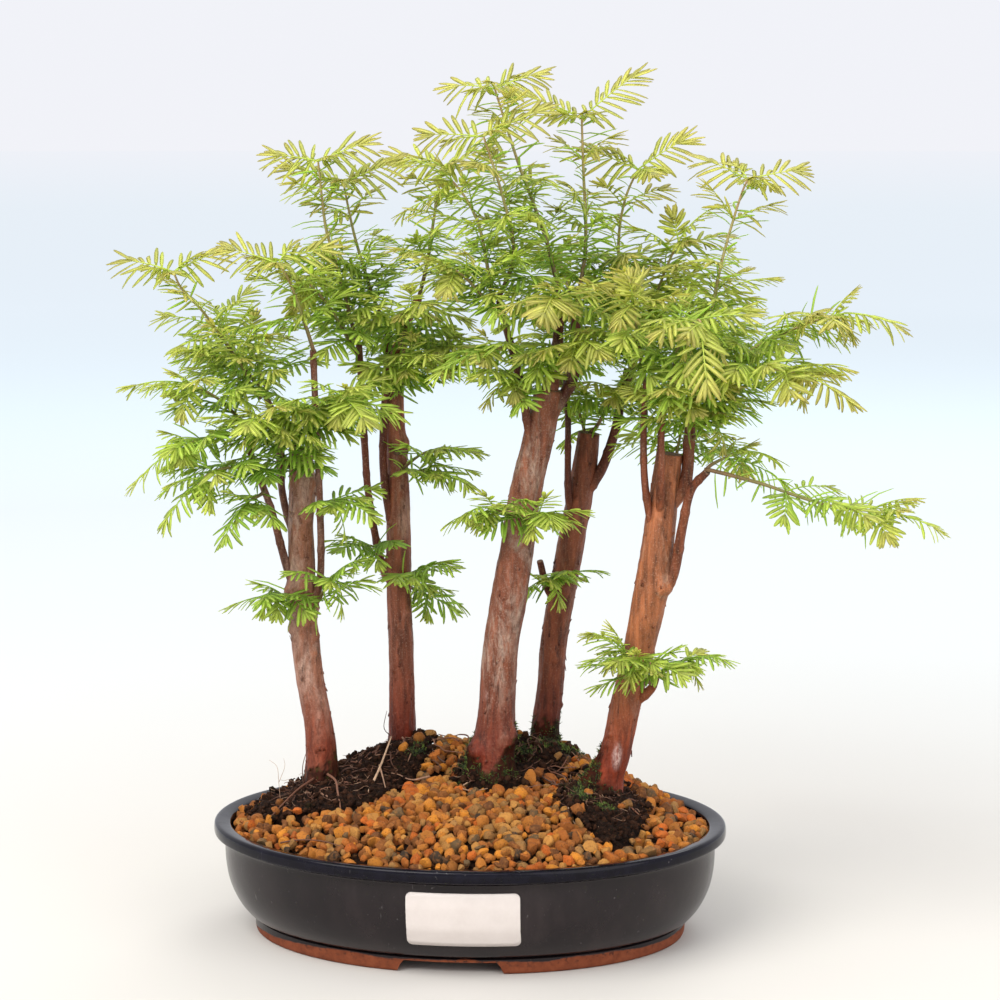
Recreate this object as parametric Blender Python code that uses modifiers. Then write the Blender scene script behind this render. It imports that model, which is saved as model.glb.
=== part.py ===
"""Dawn redwood forest bonsai: five trees planted together in a glazed oval tray.

Every size below is in millimetres, in the tray's own frame: X along the tray, Y across it
with the front at -Y, Z up from the ground. The stand empty at the end moves the whole so
that the middle of its bounding box, at ground level, is the world origin.
"""

import math
import random

import bmesh
import bpy
from mathutils import Matrix, Vector
from mathutils.bvhtree import BVHTree
from mathutils.geometry import delaunay_2d_cdt

MM = 0.001
GAP = 0.3
UP = Vector((0.0, 0.0, 1.0))

# Tray
TRAY_LENGTH = 230.0
TRAY_WIDTH = 180.0
TRAY_HEIGHT = 50.0
TRAY_SIDES = 32
UNDERSIDE_Z = 6.6
FLOOR_Z = 12.4
# Each row is how far the wall lies inside the rim's outline, and its height.
OUTER_WALL = [
    (17.2, UNDERSIDE_Z),
    (15.8, 8.4),
    (11.2, 14.5),
    (7.4, 23.0),
    (5.3, 33.0),
    (5.0, 43.2),
    (0.6, 44.4),
    (0.0, 46.0),
    (0.0, 48.8),
    (1.4, TRAY_HEIGHT),
]
INNER_WALL = [(5.8, TRAY_HEIGHT), (7.0, 48.6), (8.0, 38.0), (13.0, 18.0), (20.0, FLOOR_Z)]
FOOT_RING = [(18.4, 7.8), (18.8, 0.8), (19.6, 0.0), (26.4, 0.0), (27.0, 7.8)]
FOOT_ARCH_WIDTH = 48.0
FOOT_ARCH_HEIGHT = 5.4
DRAIN_RADIUS = 6.0
DRAIN_X = 45.0

# Label card
LABEL_WIDTH = 48.0
LABEL_BOTTOM = 15.5
LABEL_TOP = 39.5
LABEL_BENDS = (23.0, 33.0)
LABEL_CORNER = 2.4
LABEL_THICKNESS = 0.7
LABEL_X = 7.0

# Soil and grit: the heap starts at the rim's height and is highest behind the middle.
BED_INSET = 8.4
RIM_FILL_Z = 47.0
HEAP_RISE = 15.0
HEAP_RISE_BEHIND = 25.0
HEAP_BEHIND_FROM = 10.0
HEAP_BEHIND_TO = 60.0
HEAP_SHOULDER = 2.6
GRIT_DEPTH = 8.0
GRAIN_PITCH = 11.6
GRAIN_TOP = 1.7
GRAIN_GROOVE = 1.3
GRAIN_EDGE = 1.0
BED_PITCH = 19.0
ROOT_PITCH = 11.0
ROOT_EDGE = 1.4
ROOT_SUNK = 1.0
ROOT_BUMP = 0.9
ROOT_RISE = 2.4
ROOT_SPREAD = 16.0
# The outlines, seen from above, where the dark root soil comes up through the grit.
ROOT_PATCHES = [
    [(-101, -2), (-84, -11), (-66, -6), (-52, 8), (-38, 26), (-24, 43), (-25, 60), (-42, 69),
     (-62, 56), (-80, 40), (-95, 22)],
    [(-7, 14), (6, 3), (21, 8), (31, 26), (43, 46), (44, 62), (30, 69), (16, 62), (6, 42),
     (-5, 30)],
    [(44, 14), (49, -8), (60, -28), (78, -38), (87, -24), (82, -4), (77, 14), (66, 27), (51, 26)],
]

# Trunks: each point is x, y, z and the radius there. The first point is at the soil.
TRUNKS = {
    "trunk_a": [
        (-70, 17, 59, 7.8), (-70, 17, 72, 7.2), (-71, 15, 90, 6.5), (-74, 13, 109, 6.2),
        (-76, 12, 127, 6.2), (-77, 11, 146, 6.4), (-77, 11, 164, 5.8), (-77, 10, 182, 5.5),
        (-76, 10, 196, 6.0), (-77, 10, 215, 4.9),
    ],
    "trunk_b": [
        (-38, 56, 66, 6.8), (-38, 55, 80, 6.2), (-38, 54, 115, 5.7), (-39, 53, 139, 5.5),
        (-39, 52, 158, 5.6), (-39, 51, 196, 5.0), (-40, 50, 224, 4.4), (-40, 50, 246, 3.6),
        (-36, 54, 265, 2.4), (-30, 58, 279, 1.9),
    ],
    "trunk_c": [
        (8, 19, 62, 12.2), (8, 19, 72, 10.4), (10, 19, 91, 8.7), (12, 18, 123, 8.0),
        (16, 17, 146, 7.8), (19, 16, 165, 7.6), (23, 16, 192, 7.2), (29, 16, 219, 6.8),
        (34, 16, 242, 6.2),
    ],
    "trunk_d": [
        (29, 59, 66, 7.4), (29, 59, 78, 6.6), (31, 59, 97, 6.2), (33, 58, 121, 6.1),
        (37, 57, 145, 6.2), (42, 56, 173, 6.0), (46, 56, 196, 5.6), (49, 56, 218, 4.9),
    ],
    "trunk_e": [
        (60, 11, 57, 9.2), (61, 11, 68, 7.9), (65, 10, 80, 6.9), (70, 9, 104, 6.8),
        (76, 8, 131, 7.1), (81, 7, 158, 7.6), (84, 6, 181, 7.0), (88, 6, 215, 5.8),
    ],
}
TRUNK_STEP = 16.5
LIMB_STEP = 21.0
TRUNK_SUNK = 13.5
TRUNK_SOCKET = 14.0
SOCKET_SIDES = 12
SOCKET_GAP = GAP + 0.1

# Woody limbs, fused to their trunks: x, y, z points, then the radii at the two ends.
LIMBS = {
    "trunk_a": [
        ([(-77, 11, 150), (-83, 9, 160), (-90, 4, 190), (-97, -2, 213), (-97, -6, 225)], 1.9, 1.4),
        ([(-77, 12, 164), (-86, 16, 191), (-89, 18, 222), (-94, 16, 239)], 1.8, 1.4),
        ([(-76, 11, 140), (-69, 8, 152), (-67, 4, 174), (-67, 0, 202), (-68, -6, 260)], 1.7, 1.4),
    ],
    "trunk_b": [
        ([(-39, 53, 145), (-46, 50, 155), (-51, 42, 188), (-52, 36, 216), (-53, 28, 260)], 1.8, 1.4),
        ([(-39, 52, 158), (-45, 46, 201), (-43, 45, 247), (-42, 44, 264)], 2.0, 1.5),
    ],
    "trunk_c": [
        ([(34, 15, 236), (38, 12, 262), (39, 10, 282)], 2.8, 2.1),
        ([(32, 16, 226), (44, 19, 246), (45, 20, 262), (46, 22, 279)], 2.8, 2.1),
        ([(27, 15, 214), (21, 6, 251), (16, 0, 272), (14, -4, 282)], 2.0, 1.5),
    ],
    "trunk_d": [
        ([(45, 56, 188), (55, 55, 202), (61, 53, 219), (64, 50, 234), (67, 48, 248)], 2.6, 1.8),
        ([(42, 56, 176), (40, 50, 192), (40, 47, 225), (39, 46, 246)], 1.7, 1.3),
        ([(36, 57, 136), (30, 52, 147), (27, 50, 159)], 1.9, 1.5),
    ],
    "trunk_e": [
        ([(83, 7, 172), (78, 0, 200), (77, 0, 226), (78, -2, 247)], 1.9, 1.3),
        ([(84, 6, 182), (85, -5, 204), (85, -6, 227), (87, -8, 240)], 1.9, 1.4),
        ([(86, 6, 190), (95, 6, 202), (97, 6, 226), (100, 4, 243)], 3.0, 2.1),
        ([(82, 7, 150), (90, 4, 161), (94, 0, 182), (98, -4, 200), (105, -8, 209)], 2.4, 1.7),
        ([(74, 8, 104), (81, 4, 110), (84, 0, 118)], 1.9, 1.5),
    ],
}
# Burls where limbs were cut back: centre, then radius.
BURLS = {
    "trunk_a": [((-81, 7, 150), 4.2), ((-72, 8, 143), 4.4), ((-72, 7, 200), 3.4)],
    "trunk_b": [((-35, 48, 213), 3.4), ((-43, 50, 156), 3.6)],
    "trunk_c": [((2, 13, 78), 5.2), ((17, 14, 84), 5.0)],
    "trunk_d": [((37, 52, 146), 3.8)],
    "trunk_e": [((87, 3, 156), 4.4), ((54, 9, 66), 5.0)],
}

# Leafy shoots: the tree whose wood each grows from, how many sprays its solid carries, and
# its route from that wood to the tip of its last spray.
SHOOTS = {
    "shoot_a1": ("trunk_a", 3, [(-95, 15, 241), (-102, 10, 250), (-116, -4, 275), (-126, -10, 288),
                                (-130, -14, 302)]),
    "shoot_a2": ("trunk_a", 1, [(-96, 4, 240), (-103, -22, 269), (-107, -34, 282)]),
    "shoot_a3": ("trunk_a", 1, [(-68, -8, 262), (-72, -12, 277), (-77, -18, 293), (-85, -22, 305)]),
    "shoot_a4": ("trunk_a", 2, [(-97, -9, 224), (-114, -18, 222), (-132, -26, 217),
                                (-150, -30, 211)]),
    "shoot_a5": ("trunk_a", 2, [(-99, -4, 227), (-111, -20, 242), (-129, -28, 249),
                                (-148, -34, 247)]),
    "shoot_a6": ("trunk_a", 1, [(-95, -6, 208), (-108, -26, 209), (-122, -38, 198),
                                (-131, -44, 184)]),
    "shoot_a7": ("trunk_a", 2, [(-92, -4, 196), (-98, -26, 193), (-109, -46, 185)]),
    "shoot_a8": ("trunk_a", 1, [(-93, 18, 238), (-106, 40, 261), (-121, 60, 278)]),
    "shoot_a9": ("trunk_a", 1, [(-83, 4, 149), (-88, -10, 154), (-102, -20, 150)]),
    "shoot_a10": ("trunk_a", 1, [(-69, 4, 146), (-56, -12, 163), (-35, -24, 158)]),
    "shoot_a11": ("trunk_a", 1, [(-80, 4, 206), (-86, -30, 232), (-88, -60, 227)]),
    "shoot_a13": ("trunk_a", 1, [(-66, -6, 230), (-50, -30, 241), (-43, -62, 236)]),
    "shoot_a14": ("trunk_a", 1, [(-66, 0, 191), (-51, -14, 195), (-37, -26, 188)]),
    "shoot_b1": ("trunk_b", 3, [(-54, 27, 262), (-59, 26, 282), (-64, 24, 302), (-67, 22, 315),
                                (-70, 20, 347)]),
    "shoot_b2": ("trunk_b", 3, [(-42, 43, 266), (-48, 42, 279), (-53, 38, 297), (-57, 36, 313),
                                (-62, 34, 340)]),
    "shoot_b3": ("trunk_b", 3, [(-29, 59, 283), (-26, 60, 296), (-23, 62, 317), (-18, 64, 347)]),
    "shoot_b4": ("trunk_b", 2, [(-54, 22, 258), (-65, 8, 281), (-81, 0, 295), (-100, -6, 290)]),
    "shoot_b5": ("trunk_b", 2, [(-35, 45, 201), (-17, 34, 203), (7, 26, 210)]),
    "shoot_b6": ("trunk_b", 1, [(-35, 46, 152), (-20, 36, 160), (-4, 28, 164)]),
    "shoot_b7": ("trunk_b", 1, [(-35, 58, 144), (-25, 66, 142), (-11, 76, 137)]),
    "shoot_b8": ("trunk_b", 1, [(-39, 56, 238), (-40, 82, 258), (-37, 104, 275)]),
    "shoot_b9": ("trunk_b", 1, [(-37, 42, 238), (-26, 14, 255), (-12, -8, 261)]),
    "shoot_b10": ("trunk_b", 1, [(-47, 44, 165), (-55, 24, 170), (-63, 8, 165)]),
    "shoot_c1": ("trunk_c", 3, [(15, -6, 286), (21, -10, 303), (17, -16, 327), (7, -20, 359)]),
    "shoot_c2": ("trunk_c", 4, [(39, 10, 284), (34, 8, 306), (28, 6, 324), (21, 4, 343),
                                (10, 2, 378)]),
    "shoot_c3": ("trunk_c", 4, [(46, 22, 281), (49, 26, 301), (49, 28, 319), (48, 28, 338),
                                (47, 28, 366)]),
    "shoot_c4": ("trunk_c", 2, [(12, -8, 280), (4, -4, 318), (-14, -4, 341), (-35, -4, 348)]),
    "shoot_c5": ("trunk_c", 2, [(13, -8, 278), (0, -20, 294), (-16, -26, 303), (-32, -30, 298)]),
    "shoot_c6": ("trunk_c", 2, [(18, -2, 262), (4, -14, 262), (-12, -24, 264)]),
    "shoot_c7": ("trunk_c", 1, [(17, 10, 186), (6, -8, 194), (-15, -14, 198)]),
    "shoot_c8": ("trunk_c", 1, [(26, 8, 185), (35, -14, 192), (44, -36, 196)]),
    "shoot_c9": ("trunk_c", 2, [(38, 6, 274), (40, -34, 286), (41, -66, 281)]),
    "shoot_c10": ("trunk_c", 1, [(45, 26, 274), (35, 60, 296), (25, 92, 310)]),
    "shoot_d1": ("trunk_d", 4, [(68, 48, 250), (66, 44, 275), (63, 40, 303), (66, 36, 325),
                                (74, 34, 343)]),
    "shoot_d2": ("trunk_d", 1, [(40, 48, 248), (44, 66, 267), (50, 90, 288)]),
    "shoot_d3": ("trunk_d", 2, [(66, 54, 234), (81, 70, 242), (98, 86, 252)]),
    "shoot_d4": ("trunk_d", 1, [(37, 50, 240), (25, 74, 259), (6, 96, 267)]),
    "shoot_d6": ("trunk_d", 3, [(68, 46, 243), (79, 42, 280), (93, 34, 312), (111, 28, 331)]),
    "shoot_e1": ("trunk_e", 4, [(100, 4, 245), (104, 8, 263), (109, 12, 295), (118, 14, 328),
                                (123, 14, 338)]),
    "shoot_e2": ("trunk_e", 4, [(102, 0, 243), (126, -12, 264), (156, -24, 278), (189, -32, 286)]),
    "shoot_e3": ("trunk_e", 3, [(102, -2, 236), (119, -24, 254), (146, -42, 255), (170, -50, 242)]),
    "shoot_e4": ("trunk_e", 3, [(106, -9, 210), (128, -20, 206), (162, -34, 198), (212, -44, 196)]),
    "shoot_e5": ("trunk_e", 2, [(77, -4, 249), (75, -18, 269), (74, -36, 289), (76, -58, 302)]),
    "shoot_e6": ("trunk_e", 2, [(88, -10, 241), (94, -30, 268), (103, -50, 277), (100, -70, 250)]),
    "shoot_e7": ("trunk_e", 3, [(98, 8, 240), (96, 36, 267), (92, 60, 291), (98, 80, 309)]),
    "shoot_e8": ("trunk_e", 2, [(80, 0, 114), (65, -16, 136), (44, -22, 143)]),
    "shoot_e9": ("trunk_e", 1, [(84, -3, 117), (75, -28, 129), (70, -52, 127)]),
    "shoot_e10": ("trunk_e", 2, [(87, 1, 119), (101, -8, 128), (121, -14, 130)]),
    "shoot_e12": ("trunk_e", 1, [(107, -6, 212), (121, 10, 217), (141, 24, 222)]),
    "shoot_e13": ("trunk_e", 1, [(90, 12, 210), (94, 36, 226), (108, 62, 240)]),
}
STEM_START_RADIUS = 0.6
STEM_RADIUS = 1.15
STEM_END_RADIUS = 0.85
STEM_STEP = 23.0
STEM_CLEAR_OF_WOOD = 2.5
STEM_START_GAP = GAP + 0.1
SHORTEST_STEM = 14.0

# Seats of the sprays: pairs down the stem, set crosswise in turn where it stands steeply.
SEAT_STEP = 9.5
FIRST_SEAT = 6.0
LOWEST_SEAT = 5.0
STEEP = 0.75
STEEP_SPREAD = 1.1
FLAT_SPREAD = 0.95
SPRAY_SAG = 0.1

# Sprays: flat, two rows of needles on a rib, arched down towards the tip.
TERMINAL_SPRAY = 36.0
TERMINAL_SUNK = 1.5
SIDE_SPRAY = 36.0
SHORTEST_SPRAY = 22.0
NEEDLE_PITCH = 5.0
NEEDLE_LENGTH = 12.0
NEEDLE_DROOP = 0.9
TIP_NEEDLE = 8.0
RIB_START = 3.0
RIB_HALF_WIDTH = 0.65
SPRAY_THICKNESS = 0.75
SPRAY_DROOP = 0.0045
# Two sprays have room when blades this thick don't meet.
CLEAR_THICKNESS = 1.7
# A spray that meets another is swung about its face and rolled about its rib by these, in turn.
SPRAY_TURNS = [
    (0.0, 0.0), (0.2, 0.25), (-0.2, -0.25), (0.1, -0.5), (-0.1, 0.5), (0.4, 0.0), (-0.4, 0.0),
    (0.3, 0.8), (-0.3, -0.8),
]


def clear_scene():
    for old in list(bpy.data.objects):
        bpy.data.objects.remove(old)


def new_collection(name, hidden=False):
    made = bpy.data.collections.new(name)
    made.hide_render = hidden
    bpy.context.scene.collection.children.link(made)
    return made


def material(name, colour, roughness):
    made = bpy.data.materials.new(name)
    made.use_nodes = True
    shader = made.node_tree.nodes["Principled BSDF"]
    shader.inputs["Base Color"].default_value = (*colour, 1.0)
    shader.inputs["Roughness"].default_value = roughness
    shader.inputs["Metallic"].default_value = 0.0
    return made


def object_from(name, bm, collection):
    """An object holding bm, whose points are in millimetres. bm is freed."""
    bmesh.ops.recalc_face_normals(bm, faces=bm.faces)
    bmesh.ops.scale(bm, vec=(MM, MM, MM), verts=bm.verts)
    mesh = bpy.data.meshes.new(name)
    bm.to_mesh(mesh)
    bm.free()
    made = bpy.data.objects.new(name, mesh)
    collection.objects.link(made)
    return made


def smooth(obj, degrees=40.0):
    obj.data.shade_smooth()
    obj.data.set_sharp_from_angle(angle=math.radians(degrees))


def evaluated_mesh(obj):
    graph = bpy.context.evaluated_depsgraph_get()
    return bpy.data.meshes.new_from_object(obj.evaluated_get(graph))


def boolean(obj, collection, operation, solver="EXACT"):
    modifier = obj.modifiers.new(operation.lower(), "BOOLEAN")
    modifier.operation = operation
    modifier.operand_type = "COLLECTION"
    modifier.collection = collection
    modifier.solver = solver
    return modifier


def fuse(obj, others, solver="EXACT"):
    """Joins the objects in others to obj with one union, and removes them."""
    if not others:
        return
    group = bpy.data.collections.new(obj.name + "_pieces")
    bpy.context.scene.collection.children.link(group)
    for other in others:
        for holder in list(other.users_collection):
            holder.objects.unlink(other)
        group.objects.link(other)
    modifier = boolean(obj, group, "UNION", solver)
    joined = evaluated_mesh(obj)
    obj.modifiers.remove(modifier)
    obj.data = joined
    for other in others:
        bpy.data.objects.remove(other)
    bpy.data.collections.remove(group)


def oval(inset, z):
    """Points round the tray at this distance inside the rim's outline."""
    across, along = TRAY_LENGTH / 2 - inset, TRAY_WIDTH / 2 - inset
    turn = 2 * math.pi / TRAY_SIDES
    return [
        Vector((across * math.cos(i * turn), along * math.sin(i * turn), z))
        for i in range(TRAY_SIDES)
    ]


def bridge(bm, lower, upper):
    count = len(lower)
    for i in range(count):
        j = (i + 1) % count
        bm.faces.new((lower[i], lower[j], upper[j], upper[i]))


def loft(rings, closed=False):
    """A bmesh skin through rings of equal length, capped at both ends unless it is closed."""
    bm = bmesh.new()
    loops = [[bm.verts.new(point) for point in ring] for ring in rings]
    for lower, upper in zip(loops, loops[1:]):
        bridge(bm, lower, upper)
    if closed:
        bridge(bm, loops[-1], loops[0])
    else:
        bm.faces.new(loops[0])
        bm.faces.new(loops[-1])
    return bm


def smooth_path(points, step):
    """Points about step apart on a Catmull-Rom curve through the given ones."""
    given = [Vector(point) for point in points]
    ends = [2 * given[0] - given[1], *given, 2 * given[-1] - given[-2]]
    dense = []
    for a, b, c, d in zip(ends, ends[1:], ends[2:], ends[3:]):
        for i in range(12):
            t = i / 12
            dense.append(
                0.5
                * (
                    2 * b
                    + (c - a) * t
                    + (2 * a - 5 * b + 4 * c - d) * t * t
                    + (3 * b - 3 * c + d - a) * t * t * t
                )
            )
    dense.append(given[-1])
    return resampled(dense, step)


def resampled(line, step):
    lengths = lengths_along(line)
    count = max(2, round(lengths[-1] / step))
    return [point_at(line, lengths, lengths[-1] * i / count) for i in range(count + 1)]


def lengths_along(line):
    """The distance along the line of each of its points."""
    lengths = [0.0]
    for a, b in zip(line, line[1:]):
        lengths.append(lengths[-1] + (b - a).length)
    return lengths


def point_at(line, lengths, distance):
    for i in range(1, len(line)):
        if lengths[i] >= distance - 1e-9:
            share = (distance - lengths[i - 1]) / max(lengths[i] - lengths[i - 1], 1e-9)
            return line[i - 1].lerp(line[i], share)
    return line[-1].copy()


def tube(name, points, radii, resolution, collection):
    """A tapered tube: a curve with a bevel and filled caps, made a mesh."""
    curve = bpy.data.curves.new(name, "CURVE")
    curve.dimensions = "3D"
    curve.bevel_depth = MM
    curve.bevel_resolution = resolution
    curve.use_fill_caps = True
    spline = curve.splines.new("POLY")
    spline.points.add(len(points) - 1)
    for place, point, radius in zip(spline.points, points, radii):
        place.co = (*(point * MM), 1.0)
        place.radius = radius
    guide = bpy.data.objects.new(name, curve)
    collection.objects.link(guide)
    mesh = evaluated_mesh(guide)
    bpy.data.objects.remove(guide)
    bm = bmesh.new()
    bm.from_mesh(mesh)
    bmesh.ops.remove_doubles(bm, verts=bm.verts, dist=0.01 * MM)
    bmesh.ops.scale(bm, vec=(1 / MM, 1 / MM, 1 / MM), verts=bm.verts)
    return object_from(name, bm, collection)


def bvh_of(obj):
    """A search tree over an object's mesh, in millimetres."""
    points = [vertex.co / MM for vertex in obj.data.vertices]
    return BVHTree.FromPolygons(points, [tuple(face.vertices) for face in obj.data.polygons])


# Tray


def build_tray(collection, cutters):
    walls = [oval(inset, z) for inset, z in OUTER_WALL + INNER_WALL]
    tray = object_from("tray", loft(walls), collection)
    foot = object_from("foot_ring", loft([oval(*row) for row in FOOT_RING], closed=True), collection)
    fuse(tray, [foot])
    half = FOOT_ARCH_WIDTH / 2
    arch = [
        [Vector((x, y, z)) for x, z in ((-half, -2), (half, -2), (half - 4, FOOT_ARCH_HEIGHT),
                                        (4 - half, FOOT_ARCH_HEIGHT))]
        for y in (-TRAY_WIDTH / 2, TRAY_WIDTH / 2)
    ]
    object_from("foot_arch_cutter", loft(arch), cutters)
    for side in (-1, 1):
        bm = bmesh.new()
        bmesh.ops.create_cone(
            bm, cap_ends=True, segments=16, radius1=DRAIN_RADIUS, radius2=DRAIN_RADIUS, depth=20.0,
            matrix=Matrix.Translation((side * DRAIN_X, 0, FLOOR_Z)),
        )
        object_from("drain_cutter", bm, cutters)
    boolean(tray, cutters, "DIFFERENCE")
    smooth(tray, 35.0)
    return tray


def wall_inset(z):
    """How far the tray's outer wall lies inside the rim's outline at height z."""
    for (inset, low), (next_inset, high) in zip(OUTER_WALL, OUTER_WALL[1:]):
        if low <= z <= high:
            return inset + (next_inset - inset) * (z - low) / (high - low)
    return 0.0


def build_label(collection):
    """A blank card with rounded corners, bent to the front wall."""
    half = LABEL_WIDTH / 2
    xs = [-half, -half + 0.8, -half + LABEL_CORNER, -12, 0, 12, half - LABEL_CORNER, half - 0.8, half]
    bm = bmesh.new()
    columns = []
    for x in xs:
        inside = max(0.0, abs(x) - (half - LABEL_CORNER))
        drop = LABEL_CORNER - math.sqrt(max(0.0, LABEL_CORNER**2 - inside**2))
        heights = [LABEL_BOTTOM + drop, *LABEL_BENDS, LABEL_TOP - drop]
        column = []
        for z in heights:
            inset = wall_inset(z) - 0.5
            across, along = TRAY_LENGTH / 2 - inset, TRAY_WIDTH / 2 - inset
            y = -along * math.sqrt(1 - ((x + LABEL_X) / across) ** 2)
            column.append(bm.verts.new((x + LABEL_X, y, z)))
        columns.append(column)
    for left, right in zip(columns, columns[1:]):
        for i in range(len(left) - 1):
            bm.faces.new((left[i], right[i], right[i + 1], left[i + 1]))
    card = object_from("label_card", bm, collection)
    if card.data.polygons[0].normal.y > 0:
        card.data.flip_normals()
    modifier = card.modifiers.new("thickness", "SOLIDIFY")
    modifier.thickness = LABEL_THICKNESS * MM
    modifier.offset = 1.0
    return card


# Soil and grit


def heap_height(x, y):
    """The height of the heap's surface, halfway up its grains."""
    across, along = TRAY_LENGTH / 2 - BED_INSET, TRAY_WIDTH / 2 - BED_INSET
    out = min(1.0, math.hypot(x / across, y / along))
    share = (y - HEAP_BEHIND_FROM) / (HEAP_BEHIND_TO - HEAP_BEHIND_FROM)
    share = min(1.0, max(0.0, share))
    share = share * share * (3 - 2 * share)
    return RIM_FILL_Z + (HEAP_RISE + HEAP_RISE_BEHIND * share) * (1 - out**HEAP_SHOULDER)


def root_height(x, y):
    """The height of the root soil, which rises round each trunk."""
    nearest = min(math.hypot(x - row[0][0], y - row[0][1]) for row in TRUNKS.values())
    rise = ROOT_RISE * math.exp(-((nearest / ROOT_SPREAD) ** 2))
    return heap_height(x, y) - ROOT_SUNK + rise


def inside(loop, x, y):
    found = False
    for (ax, ay), (bx, by) in zip(loop, loop[1:] + loop[:1]):
        if (ay > y) != (by > y) and x < (bx - ax) * (y - ay) / (by - ay) + ax:
            found = not found
    return found


def distance_to(loop, x, y):
    nearest = math.inf
    for (ax, ay), (bx, by) in zip(loop, loop[1:] + loop[:1]):
        along = Vector((bx - ax, by - ay))
        share = ((x - ax) * along.x + (y - ay) * along.y) / along.length_squared
        share = min(1.0, max(0.0, share))
        nearest = min(nearest, math.hypot(x - ax - share * along.x, y - ay - share * along.y))
    return nearest


def shrunk(loop, by):
    middle = Vector((sum(p[0] for p in loop), sum(p[1] for p in loop))) / len(loop)
    moved = []
    for point in loop:
        out = Vector(point) - middle
        moved.append(tuple(middle + out * (1 - by / out.length)))
    return moved


def lattice(spacing, seed, wobble):
    """A triangular lattice over the tray, each point with whether it is a third one."""
    draw = random.Random(seed)
    rows = int(TRAY_WIDTH / (spacing * 0.866) / 2) + 1
    columns = int(TRAY_LENGTH / spacing / 2) + 2
    for j in range(-rows, rows + 1):
        for i in range(-columns, columns + 1):
            shift = j % 2 / 2
            x = (i + shift) * spacing + draw.uniform(-wobble, wobble) * spacing
            y = j * spacing * 0.866 + draw.uniform(-wobble, wobble) * spacing
            yield x, y, (i - (j - j % 2) // 2 - j) % 3 == 0


def triangulated(loops, scattered, keep):
    """Triangles over the loops' and the scattered points, where keep says so at their middle."""
    points = [point for loop in loops for point in loop]
    edges, start = [], 0
    for loop in loops:
        edges += [(start + i, start + (i + 1) % len(loop)) for i in range(len(loop))]
        start += len(loop)
    points += scattered
    flat, _, faces, _, _, _ = delaunay_2d_cdt([Vector(p) for p in points], edges, [], 0, 1e-6)
    kept = []
    for face in faces:
        x = sum(flat[i].x for i in face) / 3
        y = sum(flat[i].y for i in face) / 3
        if keep(x, y):
            kept.append(tuple(face))
    return [tuple(p) for p in flat], kept


def rim_loop(inset):
    return [(point.x, point.y) for point in oval(inset, 0.0)]


def outside_patches(x, y):
    return not any(inside(patch, x, y) for patch in ROOT_PATCHES)


def bed_skin():
    """The flat-plan triangles that the soil's top and the grit's underside share."""
    rim = rim_loop(BED_INSET)
    loops = [rim, *ROOT_PATCHES]
    scattered = [
        (x, y)
        for x, y, _ in lattice(BED_PITCH, 5, 0.08)
        if inside(rim, x, y)
        and outside_patches(x, y)
        and min(distance_to(loop, x, y) for loop in loops) > 6.0
    ]
    return triangulated(loops, scattered, lambda x, y: inside(rim, x, y) and outside_patches(x, y))


def build_soil(collection, cutters):
    """One bed under the grit, with the root soil rising through it round the trunks."""
    flat, faces = bed_skin()
    bm = bmesh.new()
    top = [bm.verts.new((x, y, heap_height(x, y) - GRIT_DEPTH - GAP)) for x, y in flat]
    for face in faces:
        bm.faces.new([top[i] for i in face])
    start = TRAY_SIDES
    for number, patch in enumerate(ROOT_PATCHES):
        foot, edge = shrunk(patch, 0.9), shrunk(patch, 1.6)
        scattered = [
            (x, y)
            for x, y, _ in lattice(ROOT_PITCH, 20 + number, 0.14)
            if inside(edge, x, y) and distance_to(edge, x, y) > 3.0
        ]
        points, patch_faces = triangulated(
            [patch, foot, edge], scattered, lambda x, y: inside(patch, x, y)
        )
        draw = random.Random(40 + number)
        count = len(patch)
        verts = [top[start + i] for i in range(count)]
        for i, (x, y) in enumerate(points[count:]):
            if i < count:
                z = heap_height(x, y) - GRIT_DEPTH - GAP
            elif i < 2 * count:
                z = heap_height(x, y) - ROOT_EDGE
            else:
                z = root_height(x, y) + draw.uniform(-ROOT_BUMP, ROOT_BUMP)
            verts.append(bm.verts.new((x, y, z)))
        for face in patch_faces:
            bm.faces.new([verts[i] for i in face])
        start += count
    rings = [(inset + 0.4, z + 0.4) for inset, z in INNER_WALL if z < 30]
    upper = top[:TRAY_SIDES]
    for inset, z in rings:
        lower = [bm.verts.new(point) for point in oval(inset, z)]
        bridge(bm, lower, upper)
        upper = lower
    bm.faces.new(upper)
    soil = object_from("soil", bm, collection)
    for name, route in TRUNKS.items():
        x, y, z, radius = route[0]
        bore = radius / math.cos(math.pi / SOCKET_SIDES) + SOCKET_GAP
        bm = bmesh.new()
        bmesh.ops.create_cone(
            bm, cap_ends=True, segments=SOCKET_SIDES, radius1=bore, radius2=bore,
            depth=2 * TRUNK_SOCKET, matrix=Matrix.Translation((x, y, z)),
        )
        object_from("socket_" + name[-1], bm, cutters)
    boolean(soil, cutters, "DIFFERENCE")
    return soil


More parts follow.
